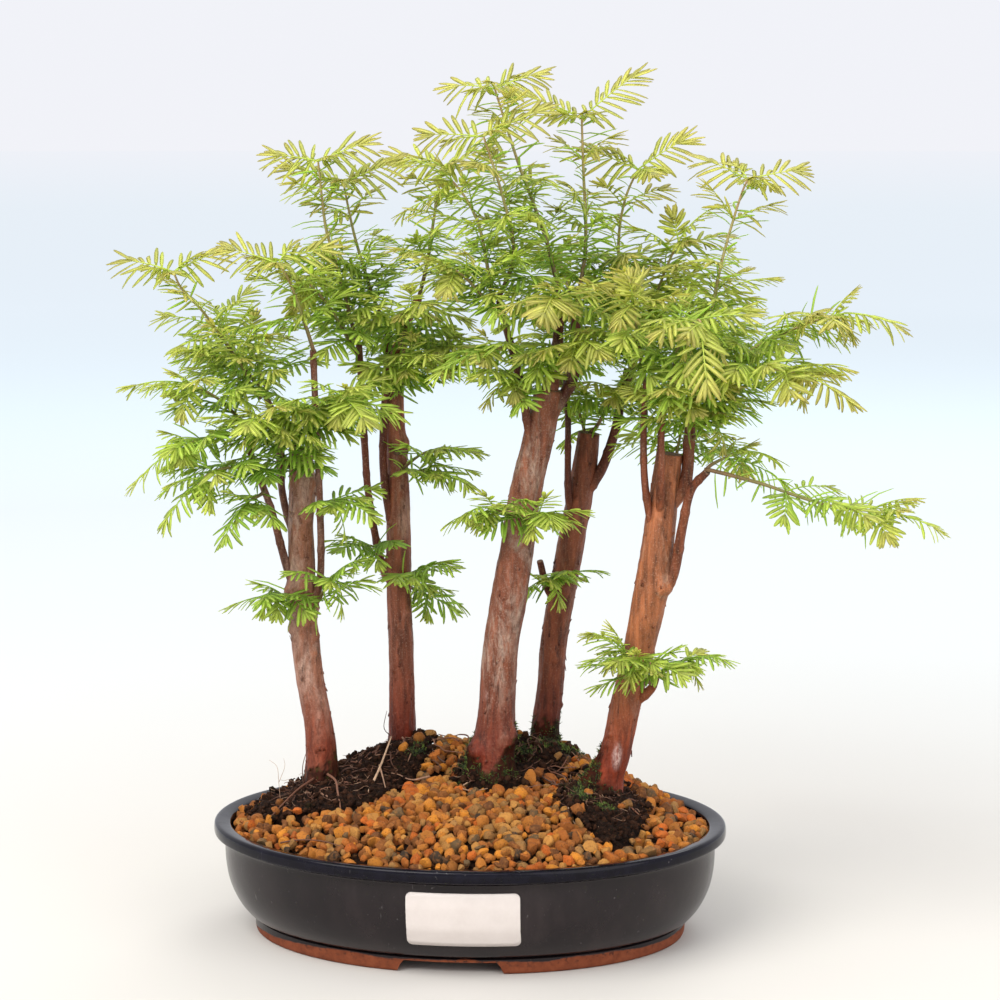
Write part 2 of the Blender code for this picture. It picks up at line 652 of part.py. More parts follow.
def build_grit(collection):
    """The grit as one layer whose top is a relief of grains, larger than life."""
    flat, faces = bed_skin()
    bm = bmesh.new()
    bottom = [bm.verts.new((x, y, heap_height(x, y) - GRIT_DEPTH)) for x, y in flat]
    for face in faces:
        bm.faces.new([bottom[i] for i in face])
    rim = rim_loop(BED_INSET)
    loops = [rim, *ROOT_PATCHES]
    edge_count = sum(len(loop) for loop in loops)
    grains = [
        (x, y, third)
        for x, y, third in lattice(GRAIN_PITCH / math.sqrt(3), 7, 0.1)
        if inside(rim, x, y)
        and outside_patches(x, y)
        and min(distance_to(loop, x, y) for loop in loops) > 2.6
    ]
    points, grain_faces = triangulated(
        loops, [grain[:2] for grain in grains],
        lambda x, y: inside(rim, x, y) and outside_patches(x, y),
    )
    draw = random.Random(11)
    verts = []
    for i, (x, y) in enumerate(points):
        z = heap_height(x, y)
        if i < edge_count:
            z -= GRAIN_EDGE
        elif grains[i - edge_count][2]:
            z += GRAIN_TOP * draw.uniform(0.7, 1.2)
        else:
            z -= GRAIN_GROOVE * draw.uniform(0.8, 1.1)
        verts.append(bm.verts.new((x, y, z)))
    for face in grain_faces:
        bm.faces.new([verts[i] for i in face])
    start = 0
    for loop in loops:
        ring = range(start, start + len(loop))
        bridge(bm, [bottom[i] for i in ring], [verts[i] for i in ring])
        start += len(loop)
    return object_from("grit_layer", bm, collection)


# Trees


def build_trunk(name, collection):
    """A trunk with its sawn top, limbs and burls, sunk in its socket at the soil."""
    route = TRUNKS[name]
    x, y, z, radius = route[0]
    centres = smooth_path([row[:3] for row in route], TRUNK_STEP)
    known = [Vector(row[:3]) for row in route]
    radii = [radius_near(centre, known, [row[3] for row in route]) for centre in centres]
    centres = [Vector((x, y, z - TRUNK_SUNK)), *centres]
    radii = [radius, *radii]
    trunk = tube(name, centres, radii, 2, collection)
    pieces = []
    for points, first, last in LIMBS[name]:
        line = smooth_path(points, LIMB_STEP)
        taper = [first + (last - first) * i / (len(line) - 1) for i in range(len(line))]
        pieces.append(tube("limb", line, taper, 1, collection))
    for centre, size in BURLS[name]:
        bm = bmesh.new()
        place = Matrix.Translation(centre) @ Matrix.Diagonal((1.0, 0.9, 1.3, 1.0))
        bmesh.ops.create_icosphere(bm, subdivisions=1, radius=size, matrix=place)
        pieces.append(object_from("burl", bm, collection))
    fuse(trunk, pieces)
    return trunk


def radius_near(point, known, radii):
    """The radius at a point of a route, between those of its two nearest given points."""
    order = sorted(range(len(known)), key=lambda i: (known[i] - point).length)
    a, b = order[0], order[1]
    near, far = (known[a] - point).length, (known[b] - point).length
    return (radii[a] * far + radii[b] * near) / max(near + far, 1e-9)


class Seat:
    """Where one spray sits: its root, its direction, the way its upper face looks, its length."""

    def __init__(self, root, direction, face, length):
        self.root, self.direction, self.face, self.length = root, direction, face, length

    def turned(self, yaw, roll):
        """The same seat, swung about its face and rolled about its rib."""
        direction = Matrix.Rotation(yaw, 3, self.face) @ self.direction
        face = Matrix.Rotation(roll, 3, direction) @ self.face
        return Seat(self.root, direction, face, self.length)


def upright(direction, tilt):
    """The unit vector square to direction that looks most nearly upwards, rolled by tilt."""
    face = UP - direction * UP.dot(direction)
    if face.length < 0.25:
        face = Vector((0.0, -1.0, 0.35))
        face -= direction * face.dot(direction)
    face.normalize()
    return Matrix.Rotation(tilt, 3, direction) @ face


def seats_of(name, line):
    """The end spray's seat, then those of the side sprays in pairs down the stem."""
    draw = random.Random(name)
    tangent = (line[-1] - line[-2]).normalized()
    face = upright(tangent, draw.uniform(-0.3, 0.3))
    seats = [Seat(line[-1] - tangent * TERMINAL_SUNK, tangent, face, TERMINAL_SPRAY)]
    lengths = lengths_along(line)
    distance = lengths[-1] - FIRST_SEAT
    pair = 0
    while distance >= LOWEST_SEAT:
        root = point_at(line, lengths, distance)
        tangent = point_at(line, lengths, distance + 2) - point_at(line, lengths, distance - 2)
        tangent.normalize()
        if abs(tangent.z) > STEEP:
            across = Vector((1.0, 0.0, 0.0))
            across = (across - tangent * across.dot(tangent)).normalized()
            turn = pair * math.pi / 2 + draw.uniform(-0.3, 0.3)
            spread = STEEP_SPREAD
        else:
            across = tangent.cross(UP).normalized()
            turn = draw.uniform(-0.35, 0.35)
            spread = FLAT_SPREAD
        across = Matrix.Rotation(turn, 3, tangent) @ across
        for side in (1, -1):
            swing = spread + draw.uniform(-0.12, 0.12)
            direction = tangent * math.cos(swing) + across * (side * math.sin(swing))
            direction.z -= SPRAY_SAG
            direction.normalize()
            length = SIDE_SPRAY * (1.0 - 0.055 * abs(pair - 2)) + draw.uniform(-3.0, 3.0)
            face = upright(direction, draw.uniform(-0.45, 0.45))
            seats.append(Seat(root, direction, face, max(SHORTEST_SPRAY, length)))
        pair += 1
        distance -= SEAT_STEP
    return seats


def spray_bmesh(seat, thickness):
    """A thin blade cut to its rib into two rows of needles, arched down towards its tip."""
    across = seat.face.cross(seat.direction).normalized()
    pairs = max(3, round((seat.length - RIB_START - TIP_NEEDLE) / NEEDLE_PITCH))
    bm = bmesh.new()

    def place(x, y, droop=0.0):
        drop = SPRAY_DROOP * x * x + droop
        point = seat.root + seat.direction * x + across * y - seat.face * (drop - thickness / 2)
        lower = point - seat.face * thickness
        return bm.verts.new(point), bm.verts.new(lower)

    xs = [0.0] + [RIB_START + i * NEEDLE_PITCH for i in range(pairs + 1)]
    left = [place(x, RIB_HALF_WIDTH) for x in xs]
    right = [place(x, -RIB_HALF_WIDTH) for x in xs]
    tips_left, tips_right = [], []
    for i in range(1, pairs + 1):
        share = (i - 1) / max(1, pairs - 1)
        angle = math.radians(62 - 30 * share)
        reach = NEEDLE_LENGTH * (0.78 + 0.75 * share * (1 - share) + 0.02 * share)
        x, y = xs[i] + 1.2 + reach * math.cos(angle), reach * math.sin(angle)
        tips_left.append(place(x, y, NEEDLE_DROOP))
        tips_right.append(place(x, -y, NEEDLE_DROOP))
    apex = place(xs[-1] + TIP_NEEDLE, 0.0)
    outline = [left[0], left[1]]
    for i, tip in enumerate(tips_left):
        outline += [tip, left[i + 2]]
    outline.append(apex)
    for i in range(pairs - 1, -1, -1):
        outline += [right[i + 2], tips_right[i]]
    outline += [right[1], right[0]]
    for level in (0, 1):
        for i in range(pairs + 1):
            a, b, c, d = left[i][level], right[i][level], right[i + 1][level], left[i + 1][level]
            bm.faces.new((a, b, c))
            bm.faces.new((a, c, d))
        for i in range(pairs):
            bm.faces.new((left[i + 1][level], left[i + 2][level], tips_left[i][level]))
            bm.faces.new((right[i + 1][level], tips_right[i][level], right[i + 2][level]))
        bm.faces.new((left[-1][level], right[-1][level], apex[level]))
    for a, b in zip(outline, outline[1:] + outline[:1]):
        bm.faces.new((a[0], b[0], b[1], a[1]))
    return bm


def clear_of(seat, trees):
    bm = spray_bmesh(seat, CLEAR_THICKNESS)
    tree = BVHTree.FromBMesh(bm)
    bm.free()
    return not any(tree.overlap(other) for other in trees)


def stem_line(route, wood):
    """The stem's smooth line: it starts just clear of its wood and ends inside its last spray."""
    line = smooth_path(route, 2.0)
    for first, point in enumerate(line):
        spot, normal, _, distance = wood.find_nearest(point)
        if distance > STEM_CLEAR_OF_WOOD and (point - spot).dot(normal) > 0:
            break
    heading = (line[first + 2] - spot).normalized()
    lean = math.sqrt(max(0.0, 1 - heading.dot(normal) ** 2))
    line = [spot + normal * (STEM_START_GAP + STEM_START_RADIUS * lean), *line[first:]]
    lengths = lengths_along(line)
    kept = max(SHORTEST_STEM, lengths[-1] - TERMINAL_SPRAY + 2 * TERMINAL_SUNK)
    count = max(2, round(kept / STEM_STEP))
    return [point_at(line, lengths, kept * i / count) for i in range(count + 1)]


def build_stem(name, line, collection):
    radii = [STEM_START_RADIUS] + [
        STEM_RADIUS + (STEM_END_RADIUS - STEM_RADIUS) * i / (len(line) - 1)
        for i in range(1, len(line))
    ]
    return tube(name, line, radii, 0, collection)


def chosen_seats(seats, count):
    """The end spray, and side sprays evenly down the stem on alternate sides."""
    picks, pairs = [seats[0]], (len(seats) - 1) // 2
    for i in range(min(count - 1, pairs)):
        pair = min(pairs - 1, round((i + 0.35) * pairs / (count - 1)))
        picks.append(seats[1 + 2 * pair + i % 2])
    return picks


def build_shoots(trunks, collection):
    """Every leafy shoot: all the stems first, then their sprays where each has room."""
    wood = {name: bvh_of(trunk) for name, trunk in trunks.items()}
    stems, lines = {}, {}
    for name, (tree, _, route) in SHOOTS.items():
        lines[name] = stem_line(route, wood[tree])
        stems[name] = build_stem(name, lines[name], collection)
    stem_trees = {name: bvh_of(stem) for name, stem in stems.items()}
    taken = []
    sprays = {name: [] for name in SHOOTS}
    for name, (_, count, _) in SHOOTS.items():
        others = [tree for other, tree in stem_trees.items() if other != name]
        for seat in chosen_seats(seats_of(name, lines[name]), count):
            for yaw, roll in SPRAY_TURNS:
                turned = seat.turned(yaw, roll)
                if clear_of(turned, [*wood.values(), *others, *taken]):
                    sprays[name].append(turned)
                    bm = spray_bmesh(turned, SPRAY_THICKNESS)
                    taken.append(BVHTree.FromBMesh(bm))
                    bm.free()
                    break
    for name, stem in stems.items():
        pieces = [
            object_from("spray", spray_bmesh(seat, SPRAY_THICKNESS), collection)
            for seat in sprays[name]
        ]
        fuse(stem, pieces, "MANIFOLD")
    return stems


def stand(collection, objects, cutters):
    """Parents every piece to an empty that centres the whole over the world origin."""
    bpy.context.view_layer.update()
    graph = bpy.context.evaluated_depsgraph_get()
    points = [
        obj.matrix_world @ vertex.co
        for obj in objects
        for vertex in obj.evaluated_get(graph).data.vertices
    ]
    middle = [(min(p[i] for p in points) + max(p[i] for p in points)) / 2 for i in (0, 1)]
    empty = bpy.data.objects.new("stand", None)
    collection.objects.link(empty)
    for obj in [*objects, *cutters]:
        obj.parent = empty
    empty.location = (-middle[0], -middle[1], 0.0)


def main():
    clear_scene()
    forest = new_collection("redwood_forest")
    tray_cutters = new_collection("tray_cutters", hidden=True)
    soil_cutters = new_collection("soil_cutters", hidden=True)
    finishes = {
        "glaze": material("tray_glaze", (0.012, 0.017, 0.045), 0.18),
        "card": material("card", (0.86, 0.85, 0.82), 0.55),
        "soil": material("root_soil", (0.035, 0.020, 0.013), 0.95),
        "grit": material("grit", (0.42, 0.17, 0.05), 0.9),
        "bark": material("bark", (0.22, 0.085, 0.05), 0.85),
        "leaf": material("needles", (0.23, 0.42, 0.05), 0.55),
    }
    pieces = {
        build_tray(forest, tray_cutters): "glaze",
        build_label(forest): "card",
        build_soil(forest, soil_cutters): "soil",
        build_grit(forest): "grit",
    }
    trunks = {name: build_trunk(name, forest) for name in TRUNKS}
    pieces.update({trunk: "bark" for trunk in trunks.values()})
    pieces.update({shoot: "leaf" for shoot in build_shoots(trunks, forest).values()})
    for obj, finish in pieces.items():
        obj.data.materials.clear()
        obj.data.materials.append(finishes[finish])
    cutters = [*tray_cutters.objects, *soil_cutters.objects]
    for cutter in cutters:
        cutter.hide_render = True
        cutter.display_type = "WIRE"
    stand(forest, list(pieces), cutters)


main()
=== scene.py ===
"""The look of a dawn redwood forest bonsai in its glazed oval tray.

Every size below is in millimetres, in the tray's own frame: X along the tray, Y across it
with the front at -Y, Z up from the ground. placed() moves points to the row frame.
"""

import math
import random

import bmesh
import bpy
import numpy as np
from mathutils import Matrix, Vector, noise


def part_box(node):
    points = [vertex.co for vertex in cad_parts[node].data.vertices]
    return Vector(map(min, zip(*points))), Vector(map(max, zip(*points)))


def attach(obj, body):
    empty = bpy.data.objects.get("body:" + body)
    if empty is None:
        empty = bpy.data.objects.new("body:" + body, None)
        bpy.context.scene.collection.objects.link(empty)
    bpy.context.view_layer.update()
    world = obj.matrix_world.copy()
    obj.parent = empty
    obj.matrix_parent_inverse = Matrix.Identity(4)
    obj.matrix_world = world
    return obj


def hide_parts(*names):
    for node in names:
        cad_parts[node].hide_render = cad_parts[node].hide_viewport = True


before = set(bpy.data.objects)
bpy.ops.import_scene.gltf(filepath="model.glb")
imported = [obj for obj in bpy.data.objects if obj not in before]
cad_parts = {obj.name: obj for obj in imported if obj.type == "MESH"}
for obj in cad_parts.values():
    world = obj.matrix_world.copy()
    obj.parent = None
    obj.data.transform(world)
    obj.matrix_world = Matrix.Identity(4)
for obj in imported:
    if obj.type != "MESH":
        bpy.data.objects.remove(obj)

MM = 0.001
UP = Vector((0.0, 0.0, 1.0))
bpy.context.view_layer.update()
TRAY_LOW, TRAY_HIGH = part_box("tray")
TRAY_MIDDLE = np.array([
    (TRAY_LOW.x + TRAY_HIGH.x) / 2 / MM,
    (TRAY_LOW.y + TRAY_HIGH.y) / 2 / MM,
    0.0,
])

# Tray
TRAY_LENGTH = 230.0
TRAY_WIDTH = 180.0
TRAY_HEIGHT = 50.0
TRAY_SIDES = 144
UNDERSIDE_Z = 6.6
FLOOR_Z = 12.4
# Each row is how far the wall lies inside the rim's outline, and its height.
OUTER_WALL = [
    (22.0, UNDERSIDE_Z), (18.2, 7.6), (16.4, 8.2), (14.8, 9.2), (10.4, 14.5), (6.5, 23.0),
    (4.9, 33.0), (5.0, 42.4), (3.6, 43.6), (0.5, 44.5), (0.0, 45.6), (0.1, 48.9), (0.9, 49.8),
]
INNER_WALL = [
    (2.2, TRAY_HEIGHT), (6.8, 49.3), (7.7, 48.6), (8.0, 46.6), (8.3, 38.0), (13.0, 18.0),
    (20.0, FLOOR_Z),
]
FOOT_RING = [(18.2, 7.8), (18.0, 3.0), (18.4, 0.6), (19.4, 0.0), (26.4, 0.0), (27.0, 7.8)]
FOOT_ARCH_WIDTH = 48.0
FOOT_ARCH_HEIGHT = 5.4
DRAIN_RADIUS = 6.0
DRAIN_X = 45.0
GLAZE_LINE = 6.0
# The glaze runs lower towards the tray's left end: from this X to that one, and by how much.
GLAZE_DIP = (-88.0, -130.0, 0.0, 3.6)

# Label card
LABEL_WIDTH = 48.0
LABEL_BOTTOM = 15.5
LABEL_TOP = 39.5
LABEL_CORNER = 2.4
LABEL_THICKNESS = 0.5
LABEL_X = 7.0
LABEL_OFF_GLAZE = 0.15

# Soil and grit: the heap starts at the rim's height and is highest behind the middle.
BED_INSET = 8.4
RIM_FILL_Z = 47.0
HEAP_RISE = 15.0
HEAP_RISE_BEHIND = 25.0
HEAP_BEHIND_FROM = 10.0
HEAP_BEHIND_TO = 60.0
HEAP_SHOULDER = 2.6
BED_UNDER_GRIT = 3.0
ROOT_SUNK = -1.6
ROOT_RISE = 3.6
ROOT_SPREAD = 18.0
BED_TURNS, BED_RINGS = 240, 76
BED_GAP = 0.4
CRUMBS = 2600
CRUMB_X, CRUMB_Y = (-106, 95), (-54, 74)
# The outlines, seen from above, where the dark root soil comes up through the grit.
ROOT_PATCHES = [
    [(-102, 8), (-98, -8), (-86, -20), (-76, -27), (-66, -22), (-55, -26), (-45, -20),
     (-38, -5), (-33, 10), (-27, 24), (-22, 40), (-25, 60), (-42, 69), (-62, 56), (-80, 40),
     (-95, 24)],
    [(-9, 16), (0, 6), (14, 5), (27, 12), (35, 28), (43, 46), (44, 62), (30, 69), (16, 62),
     (6, 42), (-5, 30)],
    [(42, 17), (41, -5), (48, -21), (57, -36), (64, -45), (69, -50), (73, -40), (77, -26),
     (80, -12), (80, 0), (76, 14), (66, 27), (51, 28)],
]
# The layers of grit: name, the distance between grains, the seed of their places, how far they
# are sunk, the least and the greatest radius, and how light they are. The layer below is darker:
# painted shade between the grains over it, and damp grit.
GRIT_LAYERS = [
    ("grit_top", 4.4, 7, 0.3, 1.5, 3.3, 1.0),
    ("grit_under", 5.6, 9, 3.2, 2.3, 3.2, 0.5),
]
# The colours of baked clay, and how common each is.
GRIT_COLOURS = [
    ((0.31, 0.088, 0.011), 4.0), ((0.39, 0.135, 0.018), 4.4), ((0.23, 0.074, 0.013), 3.2),
    ((0.38, 0.175, 0.038), 2.6), ((0.40, 0.088, 0.008), 2.0), ((0.12, 0.042, 0.011), 2.0),
    ((0.25, 0.125, 0.036), 2.4), ((0.032, 0.021, 0.012), 0.8), ((0.46, 0.165, 0.015), 2.8),
    ((0.115, 0.070, 0.030), 1.1),
]
BROKEN_FACES = 10
CRUMB_SEED = 31
# Edges sharper than this, in degrees, stay hard: on a grain of grit, and on the tray.
GRAIN_EDGE = 40.0
TRAY_EDGE = 38.0

# Trunks, from left to right: each point is x, y, z and the radius there, the first at the soil.
TRUNKS = {
    "a": [
        (-70, 17, 59, 7.8), (-70, 17, 72, 7.2), (-71, 15, 90, 6.5), (-74, 13, 109, 6.2),
        (-76, 12, 127, 6.2), (-77, 11, 146, 6.4), (-77, 11, 164, 5.8), (-77, 10, 182, 5.5),
        (-76, 10, 196, 6.0), (-77, 10, 215, 4.9),
    ],
    "b": [
        (-38, 56, 66, 6.8), (-38, 55, 80, 6.2), (-38, 54, 115, 5.7), (-39, 53, 139, 5.5),
        (-39, 52, 158, 5.6), (-39, 51, 196, 5.0), (-40, 50, 224, 4.4), (-40, 50, 246, 3.6),
        (-36, 54, 265, 2.4), (-30, 58, 279, 1.9),
    ],
    "c": [
        (8, 19, 62, 12.2), (8, 19, 72, 10.4), (10, 19, 91, 8.7), (12, 18, 123, 8.0),
        (16, 17, 146, 7.8), (19, 16, 165, 7.6), (23, 16, 192, 7.2), (29, 16, 219, 6.8),
        (34, 16, 242, 6.2),
    ],
    "d": [
        (29, 59, 66, 7.4), (29, 59, 78, 6.6), (31, 59, 97, 6.2), (33, 58, 121, 6.1),
        (37, 57, 145, 6.2), (42, 56, 173, 6.0), (46, 56, 196, 5.6), (49, 56, 218, 4.9),
    ],
    "e": [
        (60, 11, 57, 9.2), (61, 11, 68, 7.9), (65, 10, 80, 6.9), (70, 9, 104, 6.8),
        (76, 8, 131, 7.1), (81, 7, 158, 7.6), (84, 6, 181, 7.0), (88, 6, 215, 5.8),
    ],
}
TRUNK_SUNK = 13.0
TRUNK_SIDES = 48

# Woody limbs: x, y, z points, then the radii at the two ends.
LIMBS = {
    "a": [
        ([(-77, 11, 150), (-83, 9, 160), (-90, 4, 190), (-97, -2, 213), (-97, -6, 225)], 1.9, 1.4),
        ([(-77, 12, 164), (-86, 16, 191), (-89, 18, 222), (-94, 16, 239)], 1.8, 1.4),
        ([(-76, 11, 140), (-69, 8, 152), (-67, 4, 174), (-67, 0, 202), (-68, -6, 260)], 1.7, 1.4),
    ],
    "b": [
        ([(-39, 53, 145), (-46, 50, 155), (-51, 42, 188), (-52, 36, 216), (-53, 28, 260)], 1.8, 1.4),
        ([(-39, 52, 158), (-45, 46, 201), (-43, 45, 247), (-42, 44, 264)], 2.0, 1.5),
    ],
    "c": [
        ([(34, 15, 236), (38, 12, 262), (39, 10, 282)], 2.8, 2.1),
        ([(32, 16, 226), (44, 19, 246), (45, 20, 262), (46, 22, 279)], 2.8, 2.1),
        ([(27, 15, 214), (21, 6, 251), (16, 0, 272), (14, -4, 282)], 2.0, 1.5),
    ],
    "d": [
        ([(45, 56, 188), (55, 55, 202), (61, 53, 219), (64, 50, 234), (67, 48, 248)], 2.6, 1.8),
        ([(42, 56, 176), (40, 50, 192), (40, 47, 225), (39, 46, 246)], 1.7, 1.3),
        ([(36, 57, 136), (30, 52, 147), (27, 50, 159)], 1.9, 1.5),
    ],
    "e": [
        ([(83, 7, 172), (78, 0, 200), (77, 0, 226), (78, -2, 247)], 1.9, 1.3),
        ([(84, 6, 182), (85, -5, 204), (85, -6, 227), (87, -8, 240)], 1.9, 1.4),
        ([(86, 6, 190), (95, 6, 202), (97, 6, 226), (100, 4, 243)], 3.0, 2.1),
        ([(82, 7, 150), (90, 4, 161), (94, 0, 182), (98, -4, 200), (105, -8, 209)], 2.4, 1.7),
        ([(74, 8, 104), (81, 4, 110), (84, 0, 118)], 1.9, 1.5),
    ],
}
LIMB_SIDES = 16
LIMB_FADE = 12.0
# Burls where limbs were cut back: centre, then radius.
BURLS = {
    "a": [((-81, 7, 150), 4.2), ((-72, 8, 143), 4.4), ((-72, 7, 200), 3.4),
                ((-70, 8, 130), 3.3), ((-69, 7, 123), 2.9), ((-83, 8, 133), 2.7),
                ((-80, 4, 126), 2.4), ((-73, 4, 137), 3.0), ((-71, 6, 183), 2.4)],
    "b": [((-35, 48, 213), 3.4), ((-43, 50, 156), 3.6), ((-41, 47, 176), 2.3),
                ((-34, 50, 134), 2.0)],
    "c": [((2, 13, 78), 5.2), ((17, 14, 84), 5.0), ((26, 12, 151), 1.9),
                ((20, 9, 170), 1.5)],
    "d": [((37, 52, 146), 3.8), ((35, 53, 112), 1.7), ((36, 58, 90), 1.5)],
    "e": [((87, 3, 156), 4.4), ((54, 9, 66), 5.0), ((63, 4, 89), 1.9),
                ((61, 5, 84), 1.5), ((71, 3, 118), 1.5), ((82, 1, 140), 1.6)],
}
# For each tree: the bark's warm colour, its worn colour, and how much of it is worn.
BARK = {
    "a": ((0.250, 0.096, 0.052), (0.42, 0.265, 0.20), 0.62),
    "b": ((0.225, 0.068, 0.033), (0.39, 0.225, 0.155), 0.38),
    "c": ((0.195, 0.060, 0.029), (0.37, 0.255, 0.195), 0.50),
    "d": ((0.165, 0.046, 0.019), (0.28, 0.140, 0.088), 0.34),
    "e": ((0.290, 0.094, 0.036), (0.38, 0.215, 0.140), 0.30),
}
# How far the damp dark bark climbs a foot: on its left, on its right and at its front.
DARK_FOOT = {
    "a": (7.0, 17.0, 9.0),
    "b": (6.0, 9.0, 5.0),
    "c": (23.0, 27.0, 7.0),
    "d": (17.0, 17.0, 17.0),
    "e": (27.0, 2.0, 9.0),
}
# Moss climbs the dark feet of these, with this many tufts.
MOSSY_FEET = {"c": 1100, "d": 420, "e": 950}
# Pale rubbed places on the bark: centre, half width and half height.
RUBBED = {"e": [((66.2, 2.5, 78.5), 2.0, 5.5)], "c": [((5.5, 9.5, 104.0), 1.8, 4.5)]}
# Old cuts that show pale wood: centre, and how wide and high they are.
OLD_CUTS = {"b": [((-36.4, 46.0, 209.4), 3.4, 1.3)]}
# Waves in the bark: how strong, how close round and along the stem, and the axis they shift on.
BARK_WAVES = [
    (1.1, 1.1, 0.035, 0), (0.9, 3.1, 0.05, 1), (0.6, 7.0, 0.11, 2), (0.35, 13.0, 0.30, 2),
]
# The rings inside a sawn end: their share of its radius, and how far they stand out.
SAWN_RINGS = [(0.86, 0.35), (0.45, 0.15)]
FLAKES_A_TRUNK = 75
FLAKE_POINTS = 8
LIMB_SHADE = (0.50, 0.40, 0.38)
# The bark is redder near the soil: how much, and the heights between which that fades out.
RED_SHADE = (0.58, 0.24, 0.16)
RED_FROM, RED_TO = 78.0, 116.0

# Leafy shoots: each key starts with the letter of the tree that the shoot grows from, and each
# has its route from that tree's wood to the tip of its last spray.
SHOOTS = {
    "a1": [(-95, 15, 241), (-102, 10, 250), (-116, -4, 275), (-126, -10, 288), (-130, -14, 302)],
    "a2": [(-96, 4, 240), (-103, -22, 269), (-107, -34, 282)],
    "a3": [(-68, -8, 262), (-72, -12, 277), (-77, -18, 293), (-85, -22, 305)],
    "a4": [(-97, -9, 224), (-114, -18, 222), (-132, -26, 217), (-150, -30, 211)],
    "a5": [(-99, -4, 227), (-111, -20, 242), (-129, -28, 249), (-148, -34, 247)],
    "a6": [(-95, -6, 208), (-108, -26, 209), (-122, -38, 198), (-131, -44, 184)],
    "a7": [(-92, -4, 196), (-98, -26, 193), (-109, -46, 185)],
    "a8": [(-93, 18, 238), (-106, 40, 261), (-121, 60, 278)],
    "a9": [(-83, 4, 149), (-88, -10, 154), (-102, -20, 150)],
    "a10": [(-69, 4, 146), (-56, -12, 163), (-35, -24, 158)],
    "a11": [(-80, 4, 206), (-86, -30, 232), (-88, -60, 227)],
    "a13": [(-66, -6, 230), (-50, -30, 241), (-43, -62, 236)],
    "a14": [(-66, 0, 191), (-51, -14, 195), (-37, -26, 188)],
    "b1": [(-54, 27, 262), (-59, 26, 282), (-64, 24, 302), (-67, 22, 315), (-70, 20, 347)],
    "b2": [(-42, 43, 266), (-48, 42, 279), (-53, 38, 297), (-57, 36, 313), (-62, 34, 340)],
    "b3": [(-29, 59, 283), (-26, 60, 296), (-23, 62, 317), (-18, 64, 347)],
    "b4": [(-54, 22, 258), (-65, 8, 281), (-81, 0, 295), (-100, -6, 290)],
    "b5": [(-35, 45, 201), (-17, 34, 203), (7, 26, 210)],
    "b6": [(-35, 46, 152), (-20, 36, 160), (-4, 28, 164)],
    "b7": [(-35, 58, 144), (-25, 66, 142), (-11, 76, 137)],
    "b8": [(-39, 56, 238), (-40, 82, 258), (-37, 104, 275)],
    "b9": [(-37, 42, 238), (-26, 14, 255), (-12, -8, 261)],
    "b10": [(-47, 44, 165), (-55, 24, 170), (-63, 8, 165)],
    "c1": [(15, -6, 286), (21, -10, 303), (17, -16, 327), (7, -20, 359)],
    "c2": [(39, 10, 284), (34, 8, 306), (28, 6, 324), (21, 4, 343), (10, 2, 378)],
    "c3": [(46, 22, 281), (49, 26, 301), (49, 28, 319), (48, 28, 338), (47, 28, 366)],
    "c4": [(12, -8, 280), (4, -4, 318), (-14, -4, 341), (-35, -4, 348)],
    "c5": [(13, -8, 278), (0, -20, 294), (-16, -26, 303), (-32, -30, 298)],
    "c6": [(18, -2, 262), (4, -14, 262), (-12, -24, 264)],
    "c7": [(17, 10, 186), (6, -8, 194), (-15, -14, 198)],
    "c8": [(26, 8, 185), (35, -14, 192), (44, -36, 196)],
    "c9": [(38, 6, 274), (40, -34, 286), (41, -66, 281)],
    "c10": [(45, 26, 274), (35, 60, 296), (25, 92, 310)],
    "d1": [(68, 48, 250), (66, 44, 275), (63, 40, 303), (66, 36, 325), (74, 34, 343)],
    "d2": [(40, 48, 248), (44, 66, 267), (50, 90, 288)],
    "d3": [(66, 54, 234), (81, 70, 242), (98, 86, 252)],
    "d4": [(37, 50, 240), (25, 74, 259), (6, 96, 267)],
    "d6": [(68, 46, 243), (79, 42, 280), (93, 34, 312), (111, 28, 331)],
    "e1": [(100, 4, 245), (104, 8, 263), (109, 12, 295), (118, 14, 328), (123, 14, 338)],
    "e2": [(102, 0, 243), (126, -12, 264), (156, -24, 278), (189, -32, 286)],
    "e3": [(102, -2, 236), (119, -24, 254), (146, -42, 255), (170, -50, 242)],
    "e4": [(106, -9, 210), (128, -20, 206), (162, -34, 198), (212, -44, 196)],
    "e5": [(77, -4, 249), (75, -18, 269), (74, -36, 289), (76, -58, 302)],
    "e6": [(88, -10, 241), (94, -30, 268), (103, -50, 277), (100, -70, 250)],
    "e7": [(98, 8, 240), (96, 36, 267), (92, 60, 291), (98, 80, 309)],
    "e8": [(80, 0, 114), (65, -16, 136), (44, -22, 143)],
    "e9": [(84, -3, 117), (75, -28, 129), (70, -52, 127)],
    "e10": [(87, 1, 119), (101, -8, 128), (121, -14, 130)],
    "e12": [(107, -6, 212), (121, 10, 217), (141, 24, 222)],
    "e13": [(90, 12, 210), (94, 36, 226), (108, 62, 240)],
}
